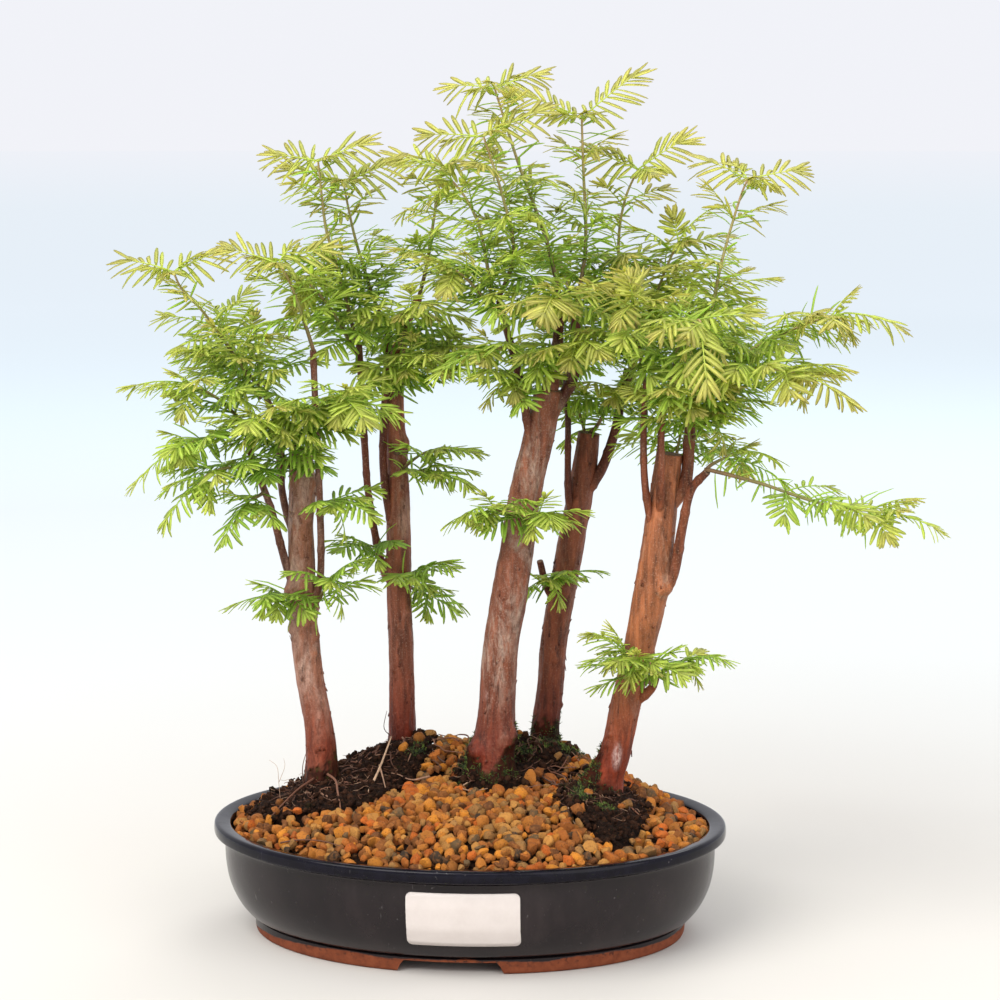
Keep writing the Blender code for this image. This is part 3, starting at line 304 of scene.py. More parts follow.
# More shoots of the same kind, which thicken the crowns round the limbs.
EXTRA_SHOOTS = {
    "b11": [(-36, 48, 246), (-24, 34, 256), (-10, 20, 261), (9, 8, 259)],
    "b12": [(-37, 48, 201), (-25, 40, 210), (-10, 34, 214), (7, 28, 212)],
    "b14": [(-36, 48, 258), (-30, 20, 273), (-22, -4, 282), (-14, -24, 285)],
    "b15": [(-40, 52, 256), (-52, 60, 266), (-66, 72, 272), (-81, 84, 268)],
    "c11": [(24, 14, 240), (18, -2, 251), (11, -14, 257), (3, -24, 255)],
    "c12": [(39, 12, 253), (47, -14, 264), (55, -34, 269), (66, -48, 265)],
    "d7": [(53, 54, 222), (62, 36, 238), (71, 18, 247), (82, 4, 251)],
    "d9": [(29, 50, 147), (36, 36, 156), (43, 26, 161), (52, 18, 160)],
    "d10": [(48, 56, 215), (43, 66, 228), (36, 80, 238), (25, 92, 244)],
    "e14": [(97, 4, 222), (95, -18, 239), (90, -38, 250), (84, -54, 249)],
    "e15": [(99, 4, 222), (108, -4, 234), (120, -12, 240), (134, -20, 240)],
    "a15": [(-78, 8, 212), (-78, -16, 230), (-82, -34, 240), (-89, -48, 240)],
    "a16": [(-69, 4, 224), (-59, -12, 238), (-48, -26, 246), (-36, -38, 245)],
}
# The green stems, and how far apart the single needles on them are: closer on an open leader.
STEM_RADIUS = 0.95
STEM_END_RADIUS = 0.45
STEM_SIDES = 8
STEM_NEEDLE_STEP = 6.0
OPEN_NEEDLE_STEP = 3.6
SHORTEST_STEM = 14.0
STEM_STEP = 2.0

# Seats of the sprays: pairs down the stem, set crosswise in turn where it stands steeply.
SEAT_STEP = 9.5
FIRST_SEAT = 6.0
LOWEST_SEAT = 5.0
STEEP = 0.75
STEEP_SPREAD = 0.98
FLAT_SPREAD = 0.95
SPRAY_RISE = 0.24
TERMINAL_SPRAY = 36.0
TERMINAL_SUNK = 1.5
SIDE_SPRAY = 36.0
SHORTEST_SPRAY = 22.0
# The droop of a spray's rib, least and most: a side spray arches more than one of the crown.
SPRAY_DROOP = (0.007, 0.017)
CROWN_DROOP = (0.002, 0.007)
# Shoots that end below this height are thin: their sprays stand further apart.
THIN_BELOW = 214.0
THIN_SEAT_STEP = 12.5
THIN_SIZE = 0.88
# How much of a shoot's stem is bare of sprays, with single long needles on it.
BARE_SHARE = {"e4": 0.44, "a4": 0.25, "e10": 0.30, "b5": 0.3}

# Needles: flat blades in two rows, swept forward more and more towards the spray's tip.
NEEDLE_PITCH = 3.0
NEEDLE_LENGTH = 13.0
NEEDLE_HALF_WIDTH = 0.90
NEEDLE_THICKNESS = 0.35
# How far needles lean from the rib at its foot, and how much less at its tip, in degrees.
NEEDLE_LEAN, LEAN_LESS = 70, 42
# The fan of needles at a spray's tip: their leans, and their length.
FAN_LEANS = (-0.42, -0.16, 0.12, 0.40)
FAN_NEEDLE = 10.2
# The single needles on a stem.
STEM_NEEDLE_HALF_WIDTH = 0.55
STEM_NEEDLE_YOUTH = 0.42
# How far along the needle each ring of points lies, and its share of the full width.
NEEDLE_WIDTHS = [(0.0, 0.40), (0.24, 0.92), (0.66, 1.0), (0.93, 0.58)]
# A spray's rib: where its needles start, how far it stops short of the spray's length, and how
# much it may bend aside.
RIB_START = 3.0
RIB_SHORT = 9.5
RIB_BEND = 0.0035
RIB_POINTS = 7
RIB_SIDES = 5
RIB_RADIUS = 0.40
RIB_TIP_RADIUS = 0.22
# The crown of a leader: its stem runs on past the seats, and two sprays arch from its tip. Each
# row is how far short of its route's tip the stem ends, the sprays' length, and how far the
# left one and the right one lean out from upright.
LEADER_STEEP = 0.72
CROWN = (8.0, 31.0, 1.22, 1.12)
CROWNS = {
    "c2": (4.5, 29.0, 1.36, 1.15),
    "c3": (5.0, 41.0, 1.04, 0.86),
    "c1": (6.0, 34.0, 1.42, 1.05),
    "d1": (5.0, 30.0, 1.10, 0.88),
    "e1": (4.0, 29.0, 1.05, 1.25),
    "b1": (5.0, 29.0, 1.34, 1.20),
}
CROWN_ROLL = 0.75
CROWN_NEEDLES = 1.18
# Short side sprays sit on a leader's stem between its seats and its crown.
HIGH_SPRAY = 25.0
CROWN_CLEAR = 9.0
# Smaller sprays fill in between the seats, up to this share of the stem.
FILL_SHARE = 0.82
FILLED_SHARE = 0.52
# Above this height a leader is open: every other pair of sprays gives way to long needles.
OPEN_ABOVE = 292.0
# The three small sprays round a stem's tip.
TIP_SPRAYS = 3
TIP_SIZE = 0.72
TIP_TURN = 2.1
TIP_LENGTHS = (14.0, 20.0)
# How young the needles at the foot of every stem are.
FOOT_YOUTH = 0.26
# How young the tips of a tree's lowest shoots are, and by how much those of its highest are
# younger. The difference grows from this height, over this much more.
YOUTH = {
    "a": (0.46, 0.36), "b": (0.44, 0.36), "c": (0.60, 0.26),
    "d": (0.60, 0.24), "e": (0.70, 0.20),
}
YOUTH_FROM, YOUTH_SPAN = 150.0, 150.0

# Camera: the photograph's viewing angle.
CAMERA_PLACE = (140.8, -1191.8, 361.0)
CAMERA_PITCH = 82.08
CAMERA_HEADING = 6.08
CAMERA_LENS = 98.75
CAMERA_SENSOR = 36.0
FLOOR_RADIUS = 30000.0
# How far away, in metres, the floor's colour is halfway to the far one's.
FLOOR_HALFWAY = 1.4
SKY = (0.90, 0.91, 0.96, 1.0)
SKY_STRENGTH = 0.98
# Where the lamps look, in metres. Each has its name, place and size in metres, watts, colour
# and, for a strip, its height in metres.
LAMP_AIM = (0.0, 0.0, 0.18)
LAMPS = [
    ("key", (-0.9, -1.1, 1.5), 1.8, 36.0, (1.0, 0.97, 0.92), 0.0),
    ("fill", (1.2, -1.1, 0.8), 1.8, 13.0, (1.0, 0.98, 0.96), 0.0),
    ("strip", (-0.3, -1.5, 1.3), 1.5, 7.0, (1.0, 1.0, 1.0), 0.14),
    ("back", (0.4, 1.4, 1.9), 1.4, 16.0, (1.0, 1.0, 1.0), 0.0),
]


def placed(points):
    """Points of the tray's frame, in millimetres, as points of the row frame in metres."""
    return (np.asarray(points, float).reshape(-1, 3) + TRAY_MIDDLE) * MM


def smoothstep(share):
    """Nought below 0, one above 1 and a smooth rise between."""
    share = np.clip(share, 0.0, 1.0)
    return share * share * (3.0 - 2.0 * share)


def circle(count):
    """This many angles, evenly spaced round a full turn."""
    return np.arange(count) * 2 * math.pi / count


def unit(rows):
    """Each row made one long."""
    return rows / np.linalg.norm(rows, axis=-1, keepdims=True)


def square_to(axis, vector):
    """The vector's part that is square to the axis, made one long."""
    return (vector - axis * vector.dot(axis)).normalized()


def piece(obj, slot, *nodes):
    """Ties a finished object to the frame's one body and hides the nodes it stands for; its slot is not
    used.
    """
    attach(obj, "root")
    if nodes:
        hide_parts(*nodes)
    return obj


def object_from_arrays(name, points, triangles, finishes, tones=None, finish_index=None):
    """A smooth-shaded object from arrays of points in millimetres and of triangles."""
    points = placed(points)
    triangles = np.asarray(triangles, np.int32)
    mesh = bpy.data.meshes.new(name)
    mesh.vertices.add(len(points))
    mesh.vertices.foreach_set("co", points.astype(np.float32).ravel())
    mesh.loops.add(3 * len(triangles))
    mesh.loops.foreach_set("vertex_index", triangles.ravel())
    mesh.polygons.add(len(triangles))
    mesh.polygons.foreach_set("loop_start", np.arange(len(triangles), dtype=np.int32) * 3)
    mesh.update(calc_edges=True)
    mesh.shade_smooth()
    if tones is not None:
        layer = mesh.color_attributes.new("tone", "FLOAT_COLOR", "POINT")
        layer.data.foreach_set("color", np.asarray(tones, np.float32).ravel())
    for finish in finishes:
        mesh.materials.append(finish)
    if finish_index is not None:
        mesh.polygons.foreach_set("material_index", np.asarray(finish_index, np.int32))
    made = bpy.data.objects.new(name, mesh)
    bpy.context.scene.collection.objects.link(made)
    return made


def object_from_bmesh(name, bm, finishes):
    """An object from a bmesh whose points are in millimetres. bm is freed."""
    bmesh.ops.recalc_face_normals(bm, faces=bm.faces)
    for vert in bm.verts:
        vert.co = (vert.co + Vector(TRAY_MIDDLE)) * MM
    mesh = bpy.data.meshes.new(name)
    bm.to_mesh(mesh)
    bm.free()
    mesh.shade_smooth()
    mesh.set_sharp_from_angle(angle=math.radians(TRAY_EDGE))
    for finish in finishes:
        mesh.materials.append(finish)
    made = bpy.data.objects.new(name, mesh)
    bpy.context.scene.collection.objects.link(made)
    return made


# Paths


def run_lengths(points):
    """The distance along a path of each of its points, as an array."""
    return np.concatenate([[0.0], np.cumsum(np.linalg.norm(np.diff(points, axis=0), axis=1))])


def catmull(points, step):
    """Points about step apart on a Catmull-Rom curve through rows of numbers, as an array."""
    given = np.asarray(points, float)
    ends = np.vstack([2 * given[0] - given[1], given, 2 * given[-1] - given[-2]])
    dense = []
    for a, b, c, d in zip(ends, ends[1:], ends[2:], ends[3:]):
        for t in np.arange(16) / 16:
            bend = (2 * a - 5 * b + 4 * c - d) * t * t + (3 * b - 3 * c + d - a) * t * t * t
            dense.append(0.5 * (2 * b + (c - a) * t + bend))
    dense = np.array([*dense, given[-1]])
    lengths = run_lengths(dense[:, :3])
    count = max(2, round(lengths[-1] / step))
    at = np.linspace(0.0, lengths[-1], count + 1)
    return np.stack([np.interp(at, lengths, column) for column in dense.T], axis=1)


def lengths_along(line):
    """The distance along a list of vectors of each of them."""
    lengths = [0.0]
    for a, b in zip(line, line[1:]):
        lengths.append(lengths[-1] + (b - a).length)
    return lengths


def point_at(line, lengths, distance):
    """The point that lies this far along the line."""
    for i in range(1, len(line)):
        if lengths[i] >= distance - 1e-9:
            share = (distance - lengths[i - 1]) / max(lengths[i] - lengths[i - 1], 1e-9)
            return line[i - 1].lerp(line[i], share)
    return line[-1].copy()


def frames_along(centres):
    """For each point of a path, two unit vectors square to it that don't twist."""
    tangents = unit(np.gradient(centres, axis=0))
    first = np.cross(tangents[0], (0.0, 1.0, 0.0))
    if np.linalg.norm(first) < 0.1:
        first = np.cross(tangents[0], (1.0, 0.0, 0.0))
    across = [unit(first)]
    for tangent in tangents[1:]:
        across.append(unit(across[-1] - tangent * across[-1].dot(tangent)))
    across = np.array(across)
    return across, np.cross(tangents, across)


def ways_round(centres, sides):
    """From each point of a path, the ways out to the sides of a tube round it."""
    across, over = (ways[:, None] for ways in frames_along(centres))
    turn = circle(sides)[None, :, None]
    return np.cos(turn) * across + np.sin(turn) * over


def tube_triangles(rings, sides):
    """Triangles of a tube of points in rings, without its two ends."""
    i = np.arange(rings - 1)[:, None] * sides
    j = np.arange(sides)[None, :]
    k = (j + 1) % sides
    a, b, c, d = i + j, i + k, i + sides + k, i + sides + j
    return np.concatenate([
        np.stack([a, b, c], -1).reshape(-1, 3),
        np.stack([a, c, d], -1).reshape(-1, 3),
    ])


def tube_mesh(centres, radii, sides):
    """(points, triangles) of a round tube with closed ends."""
    points = centres[:, None] + ways_round(centres, sides) * np.asarray(radii)[:, None, None]
    count = len(centres)
    points = np.concatenate([points.reshape(-1, 3), centres[:1], centres[-1:]])
    near = np.arange(sides)
    next_one = (near + 1) % sides
    start, end = count * sides, count * sides + 1
    last = (count - 1) * sides
    caps = np.concatenate([
        np.stack([next_one, near, np.full(sides, start)], -1),
        np.stack([last + near, last + next_one, np.full(sides, end)], -1),
    ])
    return points, np.concatenate([tube_triangles(count, sides), caps])


def joined(parts):
    """One (points, triangles, tones) from several."""
    points, triangles, tones, start = [], [], [], 0
    for some_points, some_triangles, some_tones in parts:
        points.append(some_points)
        triangles.append(np.asarray(some_triangles) + start)
        tones.append(some_tones)
        start += len(some_points)
    return np.concatenate(points), np.concatenate(triangles), np.concatenate(tones)


# Materials


class Nodes:
    """A material and short ways to add its nodes."""

    def __init__(self, name):
        self.material = bpy.data.materials.new(name)
        self.material.use_nodes = True
        self.tree = self.material.node_tree
        self.shader = self.tree.nodes["Principled BSDF"]
        self.output = self.tree.nodes["Material Output"]

    def link(self, out, into):
        """Links one node's output to another's input."""
        self.tree.links.new(out, into)

    def add(self, kind, **settings):
        """A new node of this kind with these settings."""
        node = self.tree.nodes.new(kind)
        for key, value in settings.items():
            setattr(node, key, value)
        return node

    def put(self, socket, value):
        """Sets a socket to a number or a colour, or links it to an output."""
        if isinstance(value, tuple):
            socket.default_value = (*value, 1.0)
        elif isinstance(value, (int, float)):
            socket.default_value = value
        else:
            self.link(value, socket)

    def place(self, stretch=(1.0, 1.0, 1.0)):
        """Object coordinates, scaled on each axis."""
        mapping = self.add("ShaderNodeMapping")
        mapping.inputs["Scale"].default_value = stretch
        self.link(self.add("ShaderNodeTexCoord").outputs["Object"], mapping.inputs["Vector"])
        return mapping.outputs["Vector"]

    def noise(self, vector, scale, detail=4.0, roughness=0.6, distortion=0.0):
        """Fractal noise at the vector, with scale waves to a metre."""
        node = self.add("ShaderNodeTexNoise")
        self.link(vector, node.inputs["Vector"])
        node.inputs["Scale"].default_value = scale
        node.inputs["Detail"].default_value = detail
        node.inputs["Roughness"].default_value = roughness
        node.inputs["Distortion"].default_value = distortion
        return node.outputs["Fac"]

    def ramp(self, value, *stops):
        """The colour for a value, between stops of a position and a colour."""
        node = self.add("ShaderNodeValToRGB")
        elements = node.color_ramp.elements
        while len(elements) < len(stops):
            elements.new(0.5)
        for element, (position, colour) in zip(elements, stops):
            element.position = position
            element.color = (*colour, 1.0)
        self.link(value, node.inputs["Fac"])
        return node.outputs["Color"]

    def span(self, value, low, high, to_low=0.0, to_high=1.0):
        """The value moved from one range to another, and kept inside it."""
        node = self.add("ShaderNodeMapRange")
        self.link(value, node.inputs["Value"])
        for key, number in (("From Min", low), ("From Max", high), ("To Min", to_low),
                            ("To Max", to_high)):
            node.inputs[key].default_value = number
        return node.outputs["Result"]

    def math(self, operation, a, b):
        """A sum, a product or the like of two values."""
        node = self.add("ShaderNodeMath", operation=operation)
        self.put(node.inputs[0], a)
        self.put(node.inputs[1], b)
        return node.outputs["Value"]

    def mix(self, share, a, b, blend="MIX"):
        """Colour a with this share of colour b laid over it."""
        node = self.add("ShaderNodeMix", data_type="RGBA", blend_type=blend)
        for key, value in ((0, share), (6, a), (7, b)):
            self.put(node.inputs[key], value)
        return node.outputs[2]

    def millimetres(self, vector, axis):
        """How far the vector reaches along an axis."""
        node = self.add("ShaderNodeSeparateXYZ")
        self.link(vector, node.inputs[0])
        return self.math("MULTIPLY", node.outputs[axis], 1000.0)

    def tones(self):
        """The red, green and blue of the tone attribute."""
        attribute = self.add("ShaderNodeAttribute", attribute_name="tone")
        parts = self.add("ShaderNodeSeparateColor")
        self.link(attribute.outputs["Color"], parts.inputs[0])
        return attribute.outputs["Color"], parts.outputs[0], parts.outputs[1], parts.outputs[2]

    def surface(self, colour, roughness, specular=None):
        """Sets what the surface is like. Without specular, the shader's own level stays."""
        self.put(self.shader.inputs["Base Color"], colour)
        self.put(self.shader.inputs["Roughness"], roughness)
        if specular is not None:
            self.put(self.shader.inputs["Specular IOR Level"], specular)

    def bump(self, height, distance_mm, strength=1.0):
        """Fine relief of this depth."""
        node = self.add("ShaderNodeBump")
        node.inputs["Distance"].default_value = distance_mm * MM
        node.inputs["Strength"].default_value = strength
        self.link(height, node.inputs["Height"])
        self.link(node.outputs["Normal"], self.shader.inputs["Normal"])


def glaze_material():
    """Dark blue-black glaze over terracotta, which shows bare below the glaze line."""
    nodes = Nodes("tray_glaze")
    place = nodes.place()
    height = nodes.millimetres(place, "Z")
    wander = nodes.span(nodes.noise(place, 24.0, 5.0), 0.3, 0.7, -1.2, 1.2)
    dip = nodes.span(nodes.millimetres(place, "X"), *GLAZE_DIP)
    level = nodes.math("ADD", nodes.math("ADD", height, wander), dip)
    bare = nodes.span(level, GLAZE_LINE, GLAZE_LINE - 0.5)
    cloud = nodes.noise(nodes.place((1.0, 1.0, 0.45)), 38.0, 5.0, 0.65)
    # The wall's dark glaze is its own colour, warmed as a painted reflection of the cream floor.
    dark = nodes.ramp(
        cloud, (0.30, (0.0062, 0.0040, 0.0052)), (0.55, (0.0125, 0.0082, 0.0092)),
        (0.75, (0.0240, 0.0165, 0.0170)),
    )
    rim = nodes.span(height, 42.8, 44.4)
    # The rim's navy glaze is made darker than the wall: partly its own colour, partly painted shade that
    # stands in for a dark reflection in the rim's face.
    navy_and_shade = nodes.ramp(
        nodes.noise(place, 130.0, 5.0, 0.7), (0.35, (0.0022, 0.0016, 0.0038)),
        (0.70, (0.0058, 0.0050, 0.0110)),
    )
    glaze = nodes.mix(rim, dark, navy_and_shade)
    speck = nodes.span(nodes.noise(place, 620.0, 2.0), 0.71, 0.76, 0.0, 0.6)
    glaze = nodes.mix(speck, glaze, (0.11, 0.10, 0.10))
    lines = nodes.span(nodes.noise(nodes.place((1.0, 1.0, 0.07)), 760.0, 2.0, 0.5), 0.70, 0.73)
    here = nodes.span(nodes.noise(place, 60.0, 3.0), 0.54, 0.62, 0.0, 0.5)
    glaze = nodes.mix(nodes.math("MULTIPLY", lines, here), glaze, (0.12, 0.11, 0.11))
    clay = nodes.ramp(
        nodes.noise(place, 220.0, 6.0, 0.7), (0.30, (0.120, 0.029, 0.011)),
        (0.50, (0.180, 0.044, 0.016)), (0.75, (0.230, 0.064, 0.026)),
    )
    stain = nodes.math(
        "MULTIPLY", nodes.span(nodes.noise(place, 420.0, 5.0, 0.7), 0.53, 0.60, 0.0, 0.9),
        nodes.span(height, 2.5, 6.0),
    )
    clay = nodes.mix(stain, clay, (0.012, 0.008, 0.007))
    shine = nodes.span(cloud, 0.3, 0.7, 0.15, 0.26)
    shine = nodes.math("SUBTRACT", shine, nodes.math("MULTIPLY", rim, 0.09))
    rough = nodes.add("ShaderNodeMix", data_type="FLOAT")
    nodes.link(bare, rough.inputs[0])
    nodes.link(shine, rough.inputs[2])
    rough.inputs[3].default_value = 0.92
    specular = nodes.span(rim, 0.0, 1.0, 0.30, 0.16)
    nodes.surface(nodes.mix(bare, glaze, clay), rough.outputs[0], specular)
    nodes.bump(nodes.noise(place, 95.0, 4.0, 0.55), 0.35, 0.35)
    return nodes.material


def card_material():
    """White coated card, a little uneven."""
    nodes = Nodes("card")
    place = nodes.place()
    colour = nodes.ramp(
        nodes.noise(place, 120.0, 5.0, 0.7), (0.30, (0.585, 0.525, 0.490)),
        (0.70, (0.64, 0.580, 0.545)),
    )
    nodes.surface(colour, nodes.span(nodes.noise(place, 400.0, 3.0), 0.3, 0.7, 0.38, 0.52))
    nodes.bump(nodes.noise(place, 1800.0, 3.0), 0.03, 0.3)
    return nodes.material


def soil_material():
    """Dark peaty root soil with a little green. Tone red is how brown a crumb is."""
    nodes = Nodes("root_soil")
    place = nodes.place()
    colour = nodes.ramp(
        nodes.noise(place, 520.0, 8.0, 0.80), (0.34, (0.0040, 0.0020, 0.0013)),
        (0.50, (0.0125, 0.0056, 0.0032)), (0.62, (0.044, 0.0175, 0.0085)), (0.76, (0.13, 0.058, 0.030)),
    )
    own = nodes.tones()[1]
    colour = nodes.mix(nodes.math("MULTIPLY", own, 0.75), colour, (0.075, 0.030, 0.015))
    green = nodes.span(nodes.noise(place, 90.0, 6.0, 0.7), 0.58, 0.70, 0.0, 0.35)
    colour = nodes.mix(green, colour, (0.026, 0.036, 0.008))
    nodes.surface(colour, nodes.span(nodes.noise(place, 300.0, 4.0), 0.3, 0.7, 0.8, 1.0), 0.12)
    nodes.bump(nodes.noise(place, 620.0, 8.0, 0.8), 1.3, 1.0)
    return nodes.material


def grit_material():
    """Baked clay grains: each has its own colour, with a rough dusty skin."""
    nodes = Nodes("grit")
    place = nodes.place()
    own = nodes.tones()[0]
    mottle = nodes.noise(place, 620.0, 6.0, 0.7)
    colour = nodes.mix(nodes.span(mottle, 0.46, 0.72, 0.0, 0.6), own, (0.38, 0.150, 0.042))
    pits = nodes.span(nodes.noise(place, 1300.0, 5.0, 0.7), 0.45, 0.33, 0.0, 0.85)
    colour = nodes.mix(pits, colour, (0.055, 0.020, 0.008))
    nodes.surface(colour, nodes.span(mottle, 0.3, 0.7, 0.78, 0.98), 0.30)
    nodes.bump(nodes.noise(place, 1000.0, 7.0, 0.75), 0.60, 0.9)
    return nodes.material


def bark_material(name, warm, worn, share):
    """Flaky bark: long streaks of warm and worn colour with dark cracks. Tone red is how far it
    is a limb's, green how rubbed and blue how damp and dark."""

    def shaded(colour, share):
        """The colour made darker or lighter."""
        return tuple(min(1.0, part * share) for part in colour)

    nodes = Nodes(name)
    _, limb, rubbed, damp = nodes.tones()
    place = nodes.place()
    streak = nodes.noise(nodes.place((1.0, 1.0, 0.14)), 330.0, 8.0, 0.66, 0.3)
    flake = nodes.noise(nodes.place((1.0, 1.0, 0.5)), 640.0, 7.0, 0.70, 0.6)
    colour = nodes.ramp(
        streak, (0.34, shaded(warm, 0.40)), (0.50, warm), (0.66, shaded(warm, 1.60)),
    )
    patch = nodes.noise(nodes.place((1.0, 1.0, 0.4)), 85.0, 8.0, 0.76, 0.7)
    worn_share = nodes.span(patch, 0.62 - 0.26 * share, 0.76 - 0.26 * share, 0.0, 0.85)
    worn_streaked = nodes.ramp(
        flake, (0.36, shaded(worn, 0.52)), (0.50, worn), (0.66, shaded(worn, 1.40)),
    )
    colour = nodes.mix(worn_share, colour, worn_streaked)
    colour = nodes.mix(limb, colour, nodes.mix(1.0, colour, LIMB_SHADE, "MULTIPLY"))
    crack = nodes.span(nodes.noise(nodes.place((1.0, 1.0, 0.10)), 430.0, 6.0, 0.66), 0.38, 0.31)
    colour = nodes.mix(nodes.math("MULTIPLY", crack, 0.75), colour, (0.030, 0.012, 0.008))
    pit = nodes.span(nodes.noise(nodes.place((1.0, 1.0, 2.4)), 380.0, 5.0, 0.7), 0.345, 0.30, 0.0, 0.8)
    colour = nodes.mix(pit, colour, (0.034, 0.014, 0.010))
    frost = nodes.span(nodes.noise(place, 1300.0, 4.0, 0.7), 0.54, 0.68, 0.0, 0.42)
    colour = nodes.mix(frost, colour, shaded(worn, 1.3))
    fleck = nodes.span(nodes.noise(place, 700.0, 4.0), 0.66, 0.72, 0.0, 0.35)
    colour = nodes.mix(fleck, colour, shaded(worn, 1.3))
    height = nodes.millimetres(place, "Z")
    low = nodes.span(height, RED_TO, RED_FROM)
    colour = nodes.mix(low, colour, nodes.mix(1.0, colour, RED_SHADE, "MULTIPLY"))
    bare = nodes.math("MULTIPLY", rubbed, nodes.span(flake, 0.40, 0.60, 0.15, 0.8))
    colour = nodes.mix(bare, colour, (0.60, 0.42, 0.37))
    wet = nodes.math("MULTIPLY", damp, nodes.span(streak, 0.30, 0.62, 1.0, 0.75))
    colour = nodes.mix(wet, colour, (0.012, 0.006, 0.004))
    green = nodes.span(nodes.noise(place, 300.0, 6.0, 0.7), 0.54, 0.64, 0.0, 0.7)
    colour = nodes.mix(nodes.math("MULTIPLY", damp, green), colour, (0.030, 0.042, 0.008))
    specular = nodes.span(damp, 0.0, 1.0, 0.26, 0.06)
    nodes.surface(colour, nodes.span(flake, 0.32, 0.68, 0.34, 0.62), specular)
    relief = nodes.math(
        "ADD", nodes.noise(nodes.place((1.0, 1.0, 0.15)), 480.0, 8.0, 0.70),
        nodes.math("MULTIPLY", nodes.noise(nodes.place((1.0, 1.0, 0.8)), 900.0, 6.0, 0.70), 0.8),
    )
    nodes.bump(relief, 0.62, 0.9)
    return nodes.material


def sawn_material():
    """Weathered end grain of a sawn trunk."""
    nodes = Nodes("sawn_wood")
    grain = nodes.noise(nodes.place(), 600.0, 7.0, 0.7)
    colour = nodes.ramp(
        grain, (0.32, (0.050, 0.028, 0.018)), (0.52, (0.16, 0.090, 0.055)),
        (0.72, (0.32, 0.20, 0.13)),
    )
    nodes.surface(colour, nodes.span(grain, 0.3, 0.7, 0.8, 0.95))
    nodes.bump(grain, 0.4, 0.6)
    return nodes.material


def leaf_material(name, glow, roughness):
    """Soft thin leaf. Tone red is youth, green how far along the needle, blue its own chance.
    glow is the share of light that comes through."""
    nodes = Nodes(name)
    _, youth, along, chance = nodes.tones()
    body = nodes.ramp(
        youth, (0.0, (0.220, 0.400, 0.060)), (0.35, (0.470, 0.680, 0.105)),
        (0.65, (0.670, 0.790, 0.150)), (1.0, (0.750, 0.740, 0.195)),
    )
    gold = nodes.math(
        "MULTIPLY", nodes.span(along, 0.35, 1.0, 0.0, 1.0), nodes.span(youth, 0.90, 1.08, 0.0, 0.75)
    )
    colour = nodes.mix(gold, body, (0.55, 0.40, 0.13))
    mottle = nodes.noise(nodes.place(), 330.0, 4.0, 0.6)
    own = nodes.span(chance, 0.0, 1.0, 0.86, 1.16)
    shade = nodes.math("ADD", nodes.span(mottle, 0.3, 0.7, -0.08, 0.08), own)
    bright = nodes.add("ShaderNodeHueSaturation")
    nodes.link(shade, bright.inputs["Value"])
    nodes.link(colour, bright.inputs["Color"])
    colour = bright.outputs["Color"]
    nodes.surface(colour, nodes.span(mottle, 0.3, 0.7, roughness, roughness + 0.12), 0.35)
    through = nodes.add("ShaderNodeBsdfTranslucent")
    nodes.link(nodes.mix(0.4, colour, (0.90, 0.94, 0.36), "MULTIPLY"), through.inputs["Color"])
    blend = nodes.add("ShaderNodeMixShader")
    blend.inputs[0].default_value = glow
    nodes.link(nodes.shader.outputs[0], blend.inputs[1])
    nodes.link(through.outputs[0], blend.inputs[2])
    nodes.link(blend.outputs[0], nodes.output.inputs["Surface"])
    return nodes.material


def stem_material():
    """Young stems: green below, tan and reddish towards the tip. Tone red is youth."""
    nodes = Nodes("young_stem")
    youth = nodes.tones()[1]
    streak = nodes.noise(nodes.place((1.0, 1.0, 0.3)), 420.0, 5.0, 0.65)
    colour = nodes.ramp(
        youth, (0.0, (0.110, 0.048, 0.025)), (0.22, (0.140, 0.085, 0.032)),
        (0.5, (0.200, 0.200, 0.048)), (0.8, (0.310, 0.260, 0.080)), (1.0, (0.400, 0.220, 0.115)),
    )
    colour = nodes.mix(nodes.span(streak, 0.40, 0.72, 0.0, 0.5), colour, (0.31, 0.155, 0.075))
    nodes.surface(colour, nodes.span(streak, 0.3, 0.7, 0.5, 0.7))
    nodes.bump(streak, 0.12, 0.6)
    return nodes.material


def moss_material():
    """Dark moss with fresh tips. Tone red is a blade's own chance, green is 1 at its tip."""
    nodes = Nodes("moss")
    place = nodes.place()
    _, own, tip, _ = nodes.tones()
    fresh = nodes.noise(place, 240.0, 6.0, 0.7)
    fresh = nodes.math("ADD", fresh, nodes.math("MULTIPLY", own, 0.20))
    fresh = nodes.math("ADD", fresh, nodes.math("MULTIPLY", tip, 0.08))
    colour = nodes.ramp(
        fresh, (0.44, (0.010, 0.013, 0.004)), (0.62, (0.030, 0.046, 0.008)),
        (0.72, (0.080, 0.122, 0.014)), (0.86, (0.240, 0.310, 0.045)),
    )
    nodes.surface(colour, nodes.span(nodes.noise(place, 300.0, 3.0), 0.3, 0.7, 0.8, 0.98))
    return nodes.material


def rootlet_material():
    """Roots from near-black to pale straw. Tone red is how pale."""
    nodes = Nodes("rootlets")
    pale = nodes.tones()[1]
    grain = nodes.noise(nodes.place(), 500.0, 5.0, 0.7)
    colour = nodes.ramp(
        pale, (0.0, (0.030, 0.012, 0.007)), (0.6, (0.170, 0.062, 0.032)), (1.0, (0.52, 0.34, 0.22)),
    )
    colour = nodes.mix(nodes.span(grain, 0.4, 0.7, 0.0, 0.5), colour, (0.10, 0.045, 0.025))
    nodes.surface(colour, nodes.span(grain, 0.3, 0.7, 0.7, 0.9))
    nodes.bump(grain, 0.15, 0.6)
    return nodes.material


# Tray


def cut_corners(rows, times, closed=False):
    """The profile with its corners cut over and over, which rounds it. Open ends stay."""
    rows = np.asarray(rows, float)
    for _ in range(times):
        following = np.roll(rows, -1, axis=0)
        pairs = np.stack([0.75 * rows + 0.25 * following, 0.25 * rows + 0.75 * following], 1)
        if closed:
            rows = pairs.reshape(-1, 2)
        else:
            rows = np.vstack([rows[:1], pairs[:-1].reshape(-1, 2), rows[-1:]])
    return rows


